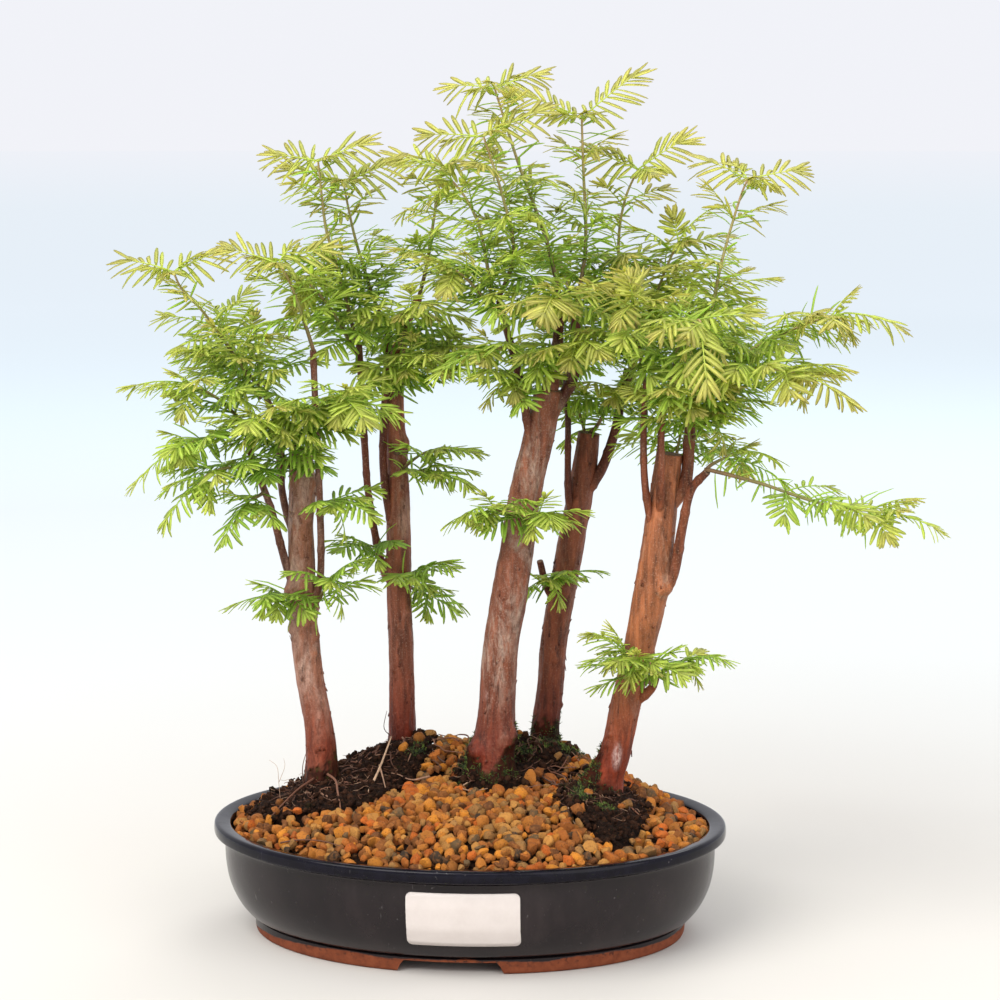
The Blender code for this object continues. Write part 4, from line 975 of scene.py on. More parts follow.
def oval(inset, z, sides=TRAY_SIDES):
    """Points round the tray at this distance inside the rim's outline."""
    across, along = TRAY_LENGTH / 2 - inset, TRAY_WIDTH / 2 - inset
    turn = circle(sides)
    return np.stack([across * np.cos(turn), along * np.sin(turn), np.full(sides, z)], 1)


def loft(rings, closed=False):
    """A bmesh skin through rings of equal length, capped at both ends unless it is closed."""
    bm = bmesh.new()
    loops = [[bm.verts.new(point) for point in ring] for ring in rings]
    pairs = list(zip(loops, loops[1:]))
    if closed:
        pairs.append((loops[-1], loops[0]))
    else:
        bm.faces.new(loops[0])
        bm.faces.new(loops[-1])
    for lower, upper in pairs:
        for i in range(len(lower)):
            j = (i + 1) % len(lower)
            bm.faces.new((lower[i], lower[j], upper[j], upper[i]))
    return bm


def cut_away(obj, cutters):
    """Takes the cutters out of obj for good, and removes them."""
    for cutter in cutters:
        modifier = obj.modifiers.new("cut", "BOOLEAN")
        modifier.operation = "DIFFERENCE"
        modifier.solver = "EXACT"
        modifier.object = cutter
    graph = bpy.context.evaluated_depsgraph_get()
    cut = bpy.data.meshes.new_from_object(obj.evaluated_get(graph))
    obj.modifiers.clear()
    obj.data = cut
    cut.shade_smooth()
    cut.set_sharp_from_angle(angle=math.radians(TRAY_EDGE))
    for cutter in cutters:
        bpy.data.objects.remove(cutter)


def build_tray(glaze):
    """The glazed bowl with its two drain holes, and the foot ring with its arch."""
    profile = cut_corners(OUTER_WALL + INNER_WALL, 2)
    tray = object_from_bmesh("tray_body", loft([oval(*row) for row in profile]), [glaze])
    drains = []
    for side in (-1, 1):
        bm = bmesh.new()
        bmesh.ops.create_cone(
            bm, cap_ends=True, segments=40, radius1=DRAIN_RADIUS, radius2=DRAIN_RADIUS, depth=20.0,
            matrix=Matrix.Translation((side * DRAIN_X, 0, FLOOR_Z)),
        )
        drains.append(object_from_bmesh("drain_cutter", bm, [glaze]))
    cut_away(tray, drains)
    piece(tray, "tray_glaze", "tray")
    ring = cut_corners(FOOT_RING, 1, closed=True)
    foot = object_from_bmesh("tray_foot", loft([oval(*row) for row in ring], closed=True), [glaze])
    half = FOOT_ARCH_WIDTH / 2
    arch = [
        [Vector((x, y, z)) for x, z in ((-half, -2), (half, -2), (half - 2.4, FOOT_ARCH_HEIGHT - 2),
                                        (half - 4, FOOT_ARCH_HEIGHT), (4 - half, FOOT_ARCH_HEIGHT),
                                        (2.4 - half, FOOT_ARCH_HEIGHT - 2))]
        for y in (-TRAY_WIDTH / 2, TRAY_WIDTH / 2)
    ]
    cut_away(foot, [object_from_bmesh("foot_arch_cutter", loft(arch), [glaze])])
    piece(foot, "tray_glaze", "tray")


def build_label(card):
    """A blank card with rounded corners, bent to the front wall."""
    wall_z = [row[1] for row in OUTER_WALL]
    wall_inset = [row[0] for row in OUTER_WALL]
    half = LABEL_WIDTH / 2
    corner = half - LABEL_CORNER + LABEL_CORNER * np.sin(np.linspace(0, math.pi / 2, 7))
    middle = np.linspace(-half + LABEL_CORNER, half - LABEL_CORNER, 25)
    xs = np.concatenate([-corner[::-1], middle[1:-1], corner])
    bm = bmesh.new()
    columns = []
    for x in xs:
        inside = max(0.0, abs(x) - (half - LABEL_CORNER))
        drop = LABEL_CORNER - math.sqrt(max(0.0, LABEL_CORNER**2 - inside**2))
        column = []
        for z in np.linspace(LABEL_BOTTOM + drop, LABEL_TOP - drop, 13):
            inset = np.interp(z, wall_z, wall_inset) - LABEL_OFF_GLAZE
            across, along = TRAY_LENGTH / 2 - inset, TRAY_WIDTH / 2 - inset
            y = -along * math.sqrt(1 - ((x + LABEL_X) / across) ** 2)
            column.append(bm.verts.new((x + LABEL_X, y, z)))
        columns.append(column)
    for left, right in zip(columns, columns[1:]):
        for i in range(len(left) - 1):
            bm.faces.new((left[i], right[i], right[i + 1], left[i + 1]))
    label = object_from_bmesh("label_card_sheet", bm, [card])
    if label.data.polygons[0].normal.y > 0:
        label.data.flip_normals()
    modifier = label.modifiers.new("thickness", "SOLIDIFY")
    modifier.thickness = LABEL_THICKNESS * MM
    modifier.offset = 1.0
    piece(label, "card", "label_card")


# Soil and grit


def heap_height(x, y):
    """The height of the heap's surface, halfway up its grains."""
    across, along = TRAY_LENGTH / 2 - BED_INSET, TRAY_WIDTH / 2 - BED_INSET
    out = np.minimum(1.0, np.hypot(np.asarray(x) / across, np.asarray(y) / along))
    share = smoothstep((np.asarray(y) - HEAP_BEHIND_FROM) / (HEAP_BEHIND_TO - HEAP_BEHIND_FROM))
    return RIM_FILL_Z + (HEAP_RISE + HEAP_RISE_BEHIND * share) * (1 - out**HEAP_SHOULDER)


def root_height(x, y):
    """The height of the root soil, which rises round each trunk."""
    nearest = np.min([np.hypot(x - row[0][0], y - row[0][1]) for row in TRUNKS.values()], axis=0)
    return heap_height(x, y) - ROOT_SUNK + ROOT_RISE * np.exp(-((nearest / ROOT_SPREAD) ** 2))


def depth_in_patches(x, y):
    """How far inside the root patches' outlines the points lie. Outside it is below nought."""
    best = np.full(np.shape(x), -np.inf)
    for patch in ROOT_PATCHES:
        odd = np.zeros(np.shape(x), bool)
        nearest = np.full(np.shape(x), np.inf)
        for (ax, ay), (bx, by) in zip(patch, patch[1:] + patch[:1]):
            crosses = (ay > y) != (by > y)
            odd ^= crosses & (x < (bx - ax) * (y - ay) / ((by - ay) or 1e-9) + ax)
            share = ((x - ax) * (bx - ax) + (y - ay) * (by - ay)) / ((bx - ax) ** 2 + (by - ay) ** 2)
            share = np.clip(share, 0.0, 1.0)
            away = np.hypot(x - ax - share * (bx - ax), y - ay - share * (by - ay))
            nearest = np.minimum(nearest, away)
        best = np.maximum(best, np.where(odd, nearest, -nearest))
    return best


def roughness_at(points, scale, octaves):
    """Fractal noise at each point, about -1 to 1."""
    return np.array([
        noise.fractal(Vector(point) / scale, 0.7, 2.1, octaves) for point in points
    ])


def soil_lumps(x, y):
    """How far the root soil's lumps stand above its mean height."""
    flat = np.stack([x, y, np.zeros_like(x)], 1)
    return roughness_at(flat, 8.0, 5) * 2.2 + roughness_at(flat + 50.0, 2.4, 3) * 1.2


def build_soil(finish):
    """The bed under the grit, with the root soil rising through it in lumps and crumbs."""
    turns, count = BED_TURNS, BED_RINGS - 1
    turn = circle(turns)
    across, along = TRAY_LENGTH / 2 - BED_INSET, TRAY_WIDTH / 2 - BED_INSET
    outs = np.linspace(1.0, 0.0, BED_RINGS)[:-1]
    x = (across * outs[:, None] * np.cos(turn)).ravel()
    y = (along * outs[:, None] * np.sin(turn)).ravel()
    share = smoothstep((depth_in_patches(x, y) + 1.5) / 4.5)
    low = heap_height(x, y) - BED_UNDER_GRIT
    z = low + (root_height(x, y) + soil_lumps(x, y) - low) * share
    top = np.stack([x, y, z], 1)
    middle = np.array([[0.0, 0.0, heap_height(0.0, 0.0) - BED_UNDER_GRIT]])
    last = (count - 1) * turns
    near = np.arange(turns)
    fan = np.stack([last + near, last + (near + 1) % turns, np.full(turns, count * turns)], 1)
    walls = [
        oval(inset + BED_GAP, height + BED_GAP, turns) for inset, height in INNER_WALL if height < 30
    ]
    side_points = np.concatenate([*walls[::-1], top[:turns]])
    sides = tube_triangles(len(walls) + 1, turns)
    floor_middle = np.array([[0.0, 0.0, FLOOR_Z + BED_GAP]])
    floor = np.stack([(near + 1) % turns, near, np.full(turns, len(side_points))], 1)
    parts = [
        (np.concatenate([top, middle]), np.concatenate([tube_triangles(count, turns), fan]),
         np.zeros((len(top) + 1, 4))),
        (np.concatenate([side_points, floor_middle]), np.concatenate([sides, floor]),
         np.zeros((len(side_points) + 1, 4))),
    ]
    draw = random.Random(CRUMB_SEED)
    spots = []
    while len(spots) < CRUMBS:
        x, y = draw.uniform(*CRUMB_X), draw.uniform(*CRUMB_Y)
        if depth_in_patches(x, y) > -2.5:
            spots.append((x, y, 0.35 + 1.5 * draw.random() ** 2.2))
    x, y, sizes = np.array(spots).T
    centres = np.stack([x, y, soil_lumps(x, y) + root_height(x, y) + 0.3 * sizes], 1)
    points, triangles, owner = grains(centres, sizes, 1, 77)
    own = np.random.default_rng(78).uniform(0.0, 1.0, (CRUMBS, 1)) ** 2.0
    parts.append((points, triangles, np.tile(own, (1, 4))[owner]))
    points, triangles, tones = joined(parts)
    obj = object_from_arrays("soil_bed", points, triangles, [finish], tones)
    piece(obj, "root_soil", "soil")


def grains(centres, sizes, subdivisions, seed):
    """Rounded broken grains at the centres: (points, triangles, which grain each point is of)."""
    draw = np.random.default_rng(seed)
    bm = bmesh.new()
    bmesh.ops.create_icosphere(bm, subdivisions=subdivisions, radius=1.0)
    ball = np.array([vert.co for vert in bm.verts])
    faces = np.array([[vert.index for vert in face.verts] for face in bm.faces])
    bm.free()
    count = len(centres)
    shapes = np.repeat(ball[None], count, axis=0)
    shapes = shapes * draw.uniform(0.93, 1.07, shapes.shape[:2])[:, :, None]
    for _ in range(BROKEN_FACES):
        flats = unit(draw.normal(size=(count, 3)))
        over = np.einsum("nvk,nk->nv", shapes, flats) - draw.uniform(0.44, 0.88, (count, 1))
        shapes -= np.maximum(over, 0.0)[:, :, None] * flats[:, None]
    shapes *= draw.uniform(0.84, 1.50, (count, 1, 3))
    spins = np.linalg.qr(draw.normal(size=(count, 3, 3)))[0]
    spins[np.linalg.det(spins) < 0, :, 0] *= -1
    shapes = np.einsum("nvk,njk->nvj", shapes, spins)
    points = centres[:, None] + shapes * np.asarray(sizes)[:, None, None]
    triangles = faces[None] + (np.arange(count) * len(ball))[:, None, None]
    return points.reshape(-1, 3), triangles.reshape(-1, 3), np.repeat(np.arange(count), len(ball))


def grit_places(pitch, seed, margin):
    """Jittered lattice points over the bed and outside the root patches."""
    draw = np.random.default_rng(seed)
    rows = int(TRAY_WIDTH / pitch) + 2
    columns = int(TRAY_LENGTH / pitch) + 2
    i, j = np.meshgrid(np.arange(-columns, columns), np.arange(-rows, rows))
    x = (i + j % 2 / 2) * pitch + draw.uniform(-0.42, 0.42, i.shape) * pitch
    y = j * pitch * 0.866 + draw.uniform(-0.42, 0.42, i.shape) * pitch
    x, y = x.ravel(), y.ravel()
    across, along = TRAY_LENGTH / 2 - BED_INSET - margin, TRAY_WIDTH / 2 - BED_INSET - margin
    depth = depth_in_patches(x, y)
    strays = draw.uniform(size=x.shape) < 0.09 * np.exp(-np.abs(depth) / 6.0)
    keep = (np.hypot(x / across, y / along) < 1.0) & ((depth < -2.0) | strays)
    for row in TRUNKS.values():
        keep &= np.hypot(x - row[0][0], y - row[0][1]) > row[0][3] + 2.5
    return x[keep], y[keep]


def build_grit(finish):
    """Loose grains in two layers. Each takes one of the colours of baked clay."""
    palette = np.array([colour for colour, _ in GRIT_COLOURS])
    weights = np.array([weight for _, weight in GRIT_COLOURS])
    for name, pitch, seed, sunk, low, high, shade_and_damp in GRIT_LAYERS:
        x, y = grit_places(pitch, seed, 1.4)
        draw = np.random.default_rng(seed + 1)
        sizes = draw.uniform(low, high, len(x)) * draw.uniform(0.82, 1.08, len(x))
        z = heap_height(x, y) - sunk + draw.uniform(-0.7, 0.7, len(x))
        rooted = depth_in_patches(x, y) > 0.0
        z = np.where(rooted, root_height(x, y) + 1.6, z)
        points, triangles, owner = grains(np.stack([x, y, z], 1), sizes, 2, seed + 2)
        colours = palette[draw.choice(len(palette), len(x), p=weights / weights.sum())]
        # The layer below is darkened: painted shade between the grains over it, and damp grit.
        colours = colours * draw.uniform(0.72, 1.25, (len(x), 1)) * shade_and_damp
        tones = np.concatenate([colours, np.ones((len(x), 1))], 1)[owner]
        obj = object_from_arrays(name, points, triangles, [finish], tones)
        obj.data.set_sharp_from_angle(angle=math.radians(GRAIN_EDGE))
        piece(obj, "grit", "grit_layer")


# Trees


def bark_tube(centres, radii, sides, seed, amplitude, burls=(), foot_z=None):
    """Rings of points round a stem with fibrous relief, burls and, at foot_z, root swellings."""
    ways, turn = ways_round(centres, sides), circle(sides)
    radii = np.asarray(radii)[:, None] * np.ones(sides)
    relief = np.zeros((len(centres), sides))
    for i, s in enumerate(run_lengths(centres)):
        for k, angle in enumerate(turn):
            for strength, close, near, axis in BARK_WAVES:
                spot = [close * math.cos(angle), close * math.sin(angle), near * s]
                spot[axis] += seed
                relief[i, k] += strength * noise.noise(Vector(spot))
    radii = radii + amplitude * relief
    if foot_z is not None:
        rise = np.exp(-np.maximum(centres[:, 2] - foot_z, 0.0) / 7.0)[:, None]
        lobes = np.maximum(0.0, np.cos(3 * turn + seed) * 0.6 + np.cos(5 * turn + 2 * seed) * 0.5)
        radii = radii * (1 + 0.34 * rise * lobes[None])
    points = centres[:, None] + ways * radii[:, :, None]
    for centre, size in burls:
        away = points - np.array(centre, float)
        distance = np.linalg.norm(away, axis=2)
        swell = 0.68 * size * np.exp(-((distance / (0.92 * size)) ** 2))
        lumpy = 1 + 0.35 * roughness_at(points.reshape(-1, 3), 2.2, 3).reshape(distance.shape)
        points = points + ways * (swell * lumpy)[:, :, None]
    return points


def closed_tube(points):
    """(points, triangles, is top) of rings of points with their ends closed by fans."""
    count, sides = points.shape[:2]
    rim = points[-1]
    middle = rim.mean(axis=0)
    out = middle - points[-2].mean(axis=0)
    sawn = [middle + (rim - middle) * share + out * rise for share, rise in SAWN_RINGS]
    rings = np.concatenate([points, np.array(sawn)])
    flat = np.concatenate([rings.reshape(-1, 3), middle[None], points[0].mean(0)[None]])
    total = count + len(SAWN_RINGS)
    near = np.arange(sides)
    following = (near + 1) % sides
    last = (total - 1) * sides
    body = tube_triangles(total, sides)
    top = np.stack([last + near, last + following, np.full(sides, total * sides)], 1)
    bottom = np.stack([following, near, np.full(sides, total * sides + 1)], 1)
    triangles = np.concatenate([body, top, bottom])
    is_top = np.all(triangles >= (count - 1) * sides, axis=1)
    is_top &= np.all(triangles < total * sides + 1, axis=1)
    is_top &= np.any(triangles >= count * sides, axis=1)
    return flat, triangles, is_top


def axis_at(tree, z):
    """X and Y of the trunk's centre line at each height."""
    rows = np.array(TRUNKS[tree], float)
    return np.interp(z, rows[:, 2], rows[:, 0]), np.interp(z, rows[:, 2], rows[:, 1])


def trunk_tones(tree, points):
    """For each point of a trunk: not a limb's, how rubbed, and how damp and dark."""
    tones = np.zeros((len(points), 4))
    axis_x, axis_y = axis_at(tree, points[:, 2])
    away = points[:, :2] - np.stack([axis_x, axis_y], 1)
    turned = away[:, 0] / np.maximum(np.linalg.norm(away, axis=1), 1e-6)
    left, right, front = DARK_FOOT[tree]
    climb = front + (right - front) * np.maximum(turned, 0.0) ** 1.5
    climb += (left - front) * np.maximum(-turned, 0.0) ** 1.5
    rough = roughness_at(points, 3.4, 4) * 4.5
    tones[:, 2] = smoothstep((TRUNKS[tree][0][2] + climb + rough - points[:, 2]) / 5.0 + 0.5)
    for centre, wide, high in RUBBED.get(tree, []):
        apart = points - np.array(centre)
        far = np.hypot(np.linalg.norm(apart[:, :2], axis=1) / wide, apart[:, 2] / high)
        tones[:, 1] = np.maximum(tones[:, 1], smoothstep(1.6 - far))
    return tones


def outward_at(shell, centres, rings, sides):
    """The shell's points at these rings and sides, with the way out and the way along there."""
    points = shell[rings, sides]
    along = centres[np.minimum(rings + 1, len(centres) - 1)] - centres[rings - 1]
    return points, unit(points - centres[rings]), unit(along)


def flakes(shell, centres, count, seed):
    """Thin chips of bark that stand off the trunk at one end: (points, triangles)."""
    draw = np.random.default_rng(int(seed * 100))
    rings = draw.integers(8, len(shell) - 3, count)
    root, out, along = outward_at(shell, centres, rings, draw.integers(0, shell.shape[1], count))
    turn = draw.uniform(-0.4, 0.4, (count, 1))
    side = np.cross(along, out)
    along = along * np.cos(turn) + side * np.sin(turn)
    side = np.cross(along, out)
    up_or_down = np.where(draw.uniform(size=(count, 1)) < 0.5, 1.0, -1.0)
    length = draw.uniform(0.9, 3.0, (count, 1))
    width = draw.uniform(0.3, 0.7, (count, 1))
    lift = draw.uniform(0.1, 0.55, (count, 1))
    far = root + along * (up_or_down * length) + out * lift
    corners = []
    for end, share, thick in ((root, 1.0, 0.35), (far, 0.65, 0.16)):
        for s in (-1, 1):
            edge = end + side * (s * width * share)
            corners += [edge - out * thick, edge + out * 0.08]
    points = np.stack(corners, 1)
    faces = np.array([
        (0, 2, 3), (0, 3, 1), (4, 5, 7), (4, 7, 6), (0, 1, 5), (0, 5, 4), (2, 6, 7), (2, 7, 3),
        (1, 3, 7), (1, 7, 5), (0, 4, 6), (0, 6, 2),
    ])
    triangles = faces[None] + (np.arange(count) * FLAKE_POINTS)[:, None, None]
    return points.reshape(-1, 3), triangles.reshape(-1, 3)


def cut_scar(shell, centres, centre, wide, high):
    """A flat oval of bare wood where a twig was cut off: (points, triangles)."""
    sides = 20
    flat = np.linalg.norm(shell - np.array(centre), axis=2)
    nearest = [np.array([index]) for index in np.unravel_index(np.argmin(flat), flat.shape)]
    point, out, along = (row[0] for row in outward_at(shell, centres, *nearest))
    across = np.cross(along, out)
    turn = circle(sides)[:, None]
    edge = across * (wide * np.cos(turn)) + along * (high * np.sin(turn))
    rings = [point + edge * share + out * rise for share, rise in ((1.15, -0.9), (1.0, 0.35), (0.6, 0.5))]
    points = np.concatenate([*rings, [point + out * 0.5], [point - out * 0.9]])
    near = np.arange(sides)
    following = (near + 1) % sides
    last, top, bottom = 2 * sides, 3 * sides, 3 * sides + 1
    caps = [np.stack([last + near, last + following, np.full(sides, top)], 1),
            np.stack([following, near, np.full(sides, bottom)], 1)]
    return points, np.concatenate([tube_triangles(3, sides), *caps])


def moss_seats(tree, shell, centres):
    """Places and ways out for the moss that climbs a trunk's dark foot."""
    count = MOSSY_FEET.get(tree, 0)
    if not count:
        return np.zeros((0, 3)), np.zeros((0, 3))
    draw = np.random.default_rng(count)
    soil_z = TRUNKS[tree][0][2]
    low = np.nonzero(centres[:, 2] < soil_z + 30.0)[0]
    rings = draw.integers(1, low[-1], count * 12)
    sides = draw.integers(0, shell.shape[1], len(rings))
    points, out, along = outward_at(shell, centres, rings, sides)
    damp = trunk_tones(tree, points)[:, 2] > 0.55
    clumps = roughness_at(points + 9.0, 5.0, 3) > -0.05
    kept = np.nonzero(damp & clumps & (points[:, 2] > soil_z - 2.0))[0][:count]
    return points[kept], out[kept] * 0.8 + along[kept] * 0.5


def limb_part(route, first, last, seed, number):
    """One limb with its knots: (points, triangles, tones, is top)."""
    step = 1.4
    line = catmull(route, step)
    share = np.linspace(0.0, 1.0, len(line))
    distance = share * step * (len(line) - 1)
    radii = (first + (last - first) * share) * (1 + 0.55 * np.exp(-distance / 7.0))
    knots = 1 + 0.16 * np.exp(-(((distance + 5 * number) % 17.0 - 8.5) / 1.3) ** 2)
    points, triangles, is_top = closed_tube(bark_tube(line, radii * knots, LIMB_SIDES, seed + number, 0.16))
    tones = np.zeros((len(points), 4))
    tones[:, 0] = smoothstep(np.linalg.norm(points - line[0], axis=1) / LIMB_FADE - 0.4)
    return points, triangles, tones, is_top


def build_trunk(tree, sawn):
    """A trunk with its chips, old cuts and limbs. Returns the seats of the moss that climbs it."""
    warm, worn, share = BARK[tree]
    finish = bark_material("bark_" + tree, warm, worn, share)
    rows = TRUNKS[tree]
    seed = 3.7 * (ord(tree) - ord("a") + 1)
    x, y, z, radius = rows[0]
    foot = [(x, y, z - TRUNK_SUNK + i * 2.0, radius) for i in range(int(TRUNK_SUNK / 2.0))]
    fine = np.concatenate([np.array(foot), catmull(rows, 1.15)])
    centres = fine[:, :3]
    shell = bark_tube(centres, fine[:, 3], TRUNK_SIDES, seed, 0.42, BURLS[tree], z)
    points, triangles, is_top = closed_tube(shell)
    parts = [(points, triangles, trunk_tones(tree, points), is_top)]
    points, triangles = flakes(shell, centres, FLAKES_A_TRUNK, seed)
    tones = trunk_tones(tree, points)
    own = np.random.default_rng(int(seed * 10)).uniform(0.0, 1.0, FLAKES_A_TRUNK)
    tones[:, 0] = np.repeat(own, FLAKE_POINTS)
    parts.append((points, triangles, tones, np.zeros(len(triangles), bool)))
    for centre, wide, high in OLD_CUTS.get(tree, []):
        points, triangles = cut_scar(shell, centres, centre, wide, high)
        parts.append((points, triangles, np.zeros((len(points), 4)), np.ones(len(triangles), bool)))
    for number, (route, first, last) in enumerate(LIMBS[tree]):
        parts.append(limb_part(route, first, last, seed, number))
    points, triangles, tones = joined([part[:3] for part in parts])
    sawn_faces = np.concatenate([part[3] for part in parts]).astype(int)
    name = "trunk_" + tree
    obj = object_from_arrays(name + "_bark", points, triangles, [finish, sawn], tones, sawn_faces)
    piece(obj, "bark", name)
    return moss_seats(tree, shell, centres)


# Leafy shoots


def upright(direction, tilt):
    """The unit vector square to direction that looks most nearly upwards, rolled by tilt."""
    face = UP - direction * UP.dot(direction)
    if face.length < 0.25:
        face = square_to(direction, Vector((0.0, -1.0, 0.35)))
    return Matrix.Rotation(tilt, 3, direction) @ face.normalized()


def pair_of_seats(line, lengths, distance, turn, length, draw):
    """The seats of two sprays that face each other across the stem. Each seat is its root, its
    direction, the way its upper face looks, its length and its distance along the stem."""
    root = point_at(line, lengths, distance)
    tangent = point_at(line, lengths, distance + 2) - point_at(line, lengths, distance - 2)
    tangent.normalize()
    if abs(tangent.z) > STEEP:
        across = square_to(tangent, Vector((1.0, 0.0, 0.0)))
        turn += draw.uniform(-0.3, 0.3)
        spread = STEEP_SPREAD
    else:
        across = tangent.cross(UP).normalized()
        turn = draw.uniform(-0.35, 0.35)
        spread = FLAT_SPREAD
    across = Matrix.Rotation(turn, 3, tangent) @ across
    seats = []
    for side in (1, -1):
        swing = spread + draw.uniform(-0.12, 0.12)
        direction = tangent * math.cos(swing) + across * (side * math.sin(swing))
        direction.z += SPRAY_RISE * draw.uniform(0.3, 1.5)
        direction.normalize()
        reach = max(SHORTEST_SPRAY, length + draw.uniform(-3.0, 3.0))
        face = upright(direction, draw.uniform(-0.6, 0.6))
        seats.append((root, direction, face, reach, distance))
    return seats


def seats_of(key, line):
    """The end spray's seat, then those of the side sprays in pairs down the stem."""
    draw = random.Random("shoot_" + key)
    tangent = (line[-1] - line[-2]).normalized()
    face = upright(tangent, draw.uniform(-0.3, 0.3))
    lengths = lengths_along(line)
    seats = [(line[-1] - tangent * TERMINAL_SUNK, tangent, face, TERMINAL_SPRAY, lengths[-1])]
    distance = lengths[-1] - FIRST_SEAT
    lowest = max(LOWEST_SEAT, BARE_SHARE.get(key, 0.0) * lengths[-1])
    pair = 0
    while distance >= lowest:
        length = SIDE_SPRAY * (1.0 - 0.055 * abs(pair - 2))
        seats += pair_of_seats(line, lengths, distance, pair * math.pi / 2, length, draw)
        pair += 1
        distance -= THIN_SEAT_STEP if line[-1].z < THIN_BELOW else SEAT_STEP
    return seats


def stem_part(centres, radii, sides, youths):
    """A stem or a rib with tone red as youth: (points, triangles, tones)."""
    points, triangles = tube_mesh(np.array(centres), radii, sides)
    tones = np.zeros((len(points), 4))
    tones[: len(centres) * sides, 0] = np.repeat(youths, sides)
    tones[-2, 0], tones[-1, 0] = youths[0], youths[-1]
    tones[:, 2] = 0.3
    return points, triangles, tones


class Foliage:
    """Collects ribs and needles, and turns them into arrays."""

    def __init__(self):
        self.ribs = []
        self.needles = []

    def needle(self, root, direction, face, length, half_width, droop, youth, chance):
        """One needle, whose upper side looks along face."""
        self.needles.append((*root, *direction, *face, length, half_width, droop, youth, chance))

    def spray(self, seat, draw, youth, needle_scale=1.0, droop=SPRAY_DROOP):
        """An arching rib with two rows of needles that sweep forward, and a fan at its tip."""
        root, direction, face, length = seat
        across = face.cross(direction).normalized()
        reach = length - RIB_SHORT * needle_scale
        curl = draw.uniform(*droop)
        bend = draw.uniform(-RIB_BEND, RIB_BEND)

        def rib(x):
            point = root + direction * x + across * (bend * x * x)
            point = point - face * (0.6 * curl * x * x)
            return point - UP * (0.4 * curl * x * x)

        centres = [rib(x) for x in np.linspace(0.0, reach, RIB_POINTS)]
        radii = np.linspace(RIB_RADIUS, RIB_TIP_RADIUS, RIB_POINTS)
        youths = np.linspace(0.6 * youth, youth, RIB_POINTS)
        self.ribs.append(stem_part(centres, radii, RIB_SIDES, youths))
        pairs = max(4, round((reach - RIB_START) / NEEDLE_PITCH))
        for i in range(pairs + 1):
            share = i / pairs
            x = RIB_START + (reach - RIB_START) * share
            here = rib(x)
            forward = (rib(x + 1.0) - here).normalized()
            side_way = square_to(forward, across)
            up_way = forward.cross(side_way) * (1 if forward.cross(side_way).dot(face) > 0 else -1)
            size = NEEDLE_LENGTH * needle_scale * (0.74 + 0.95 * share * (1 - share))
            for side in (1, -1):
                angle = math.radians(NEEDLE_LEAN - LEAN_LESS * share**1.3 + draw.uniform(-7, 7))
                lift = draw.uniform(-0.42, 0.10)
                way = (forward * math.cos(angle) + side_way * (side * math.sin(angle))
                       + up_way * lift).normalized()
                flat = square_to(way, up_way)
                flat = Matrix.Rotation(side * draw.uniform(0.05, 0.5), 3, way) @ flat
                self.needle(
                    here, way, flat, size * draw.uniform(0.88, 1.1),
                    NEEDLE_HALF_WIDTH * (0.86 + 0.24 * youth) * draw.uniform(0.9, 1.1),
                    draw.uniform(0.06, 0.34),
                    youth + 0.20 * share * share + draw.uniform(-0.05, 0.05), draw.random(),
                )
        forward = (rib(reach) - rib(reach - 1.0)).normalized()
        flat = square_to(forward, face)
        for angle in FAN_LEANS:
            way = Matrix.Rotation(angle + draw.uniform(-0.08, 0.08), 3, flat) @ forward
            way = (way + flat * draw.uniform(-0.2, 0.1)).normalized()
            self.needle(
                rib(reach), way, square_to(way, flat),
                FAN_NEEDLE * needle_scale * draw.uniform(0.8, 1.1), NEEDLE_HALF_WIDTH * 0.9,
                draw.uniform(0.0, 0.2), youth + 0.24, draw.random(),
            )

    def needle_arrays(self):
        """Every needle as a blunt blade with a keel below: (points, triangles, tones)."""
        rows = np.array(self.needles)
        root, way, face = rows[:, 0:3], rows[:, 3:6], rows[:, 6:9]
        length, half_width, droop, youth, chance = rows[:, 9:14].T
        across = np.cross(face, way)
        count, rings = len(rows), len(NEEDLE_WIDTHS)
        size = 3 * rings + 1
        points = np.zeros((count, size, 3))
        tones = np.ones((count, size, 4))
        tones[:, :, 0] = np.clip(youth, 0.0, 1.0)[:, None]
        tones[:, :, 2] = chance[:, None]
        for i, (s, width) in enumerate([*NEEDLE_WIDTHS, (1.0, 0.0)]):
            centre = root + way * (s * length)[:, None]
            centre = centre - face * (droop * length * s * s)[:, None]
            tones[:, 3 * i : 3 * i + 3, 1] = s
            if i == rings:
                points[:, -1] = centre
                break
            wide = across * (width * half_width)[:, None]
            keel = face * (NEEDLE_THICKNESS * (0.4 + 0.6 * width))
            for k, corner in enumerate((wide, -wide, -keel)):
                points[:, 3 * i + k] = centre + corner
        faces = [(2, 1, 0)]
        for ring in range(rings - 1):
            for k in range(3):
                a, b = 3 * ring + k, 3 * ring + (k + 1) % 3
                faces += [(a, b, b + 3), (a, b + 3, a + 3)]
        faces += [(size - 4 + k, size - 4 + (k + 1) % 3, size - 1) for k in range(3)]
        triangles = np.array(faces)[None] + (np.arange(count) * size)[:, None, None]
        return points.reshape(-1, 3), triangles.reshape(-1, 3), tones.reshape(-1, 4)


def wood_point(tree, start):
    """The point on the centre lines of a tree's wood that is nearest to start."""
    best, nearest = None, math.inf
    lines = [np.array([row[:3] for row in TRUNKS[tree]], float)]
    lines += [np.array(route, float) for route, _, _ in LIMBS[tree]]
    for line in lines:
        for a, b in zip(line, line[1:]):
            share = np.clip((start - a).dot(b - a) / (b - a).dot(b - a), 0.0, 1.0)
            spot = a + (b - a) * share
            distance = np.linalg.norm(spot - start)
            if distance < nearest:
                best, nearest = spot, distance
    return best


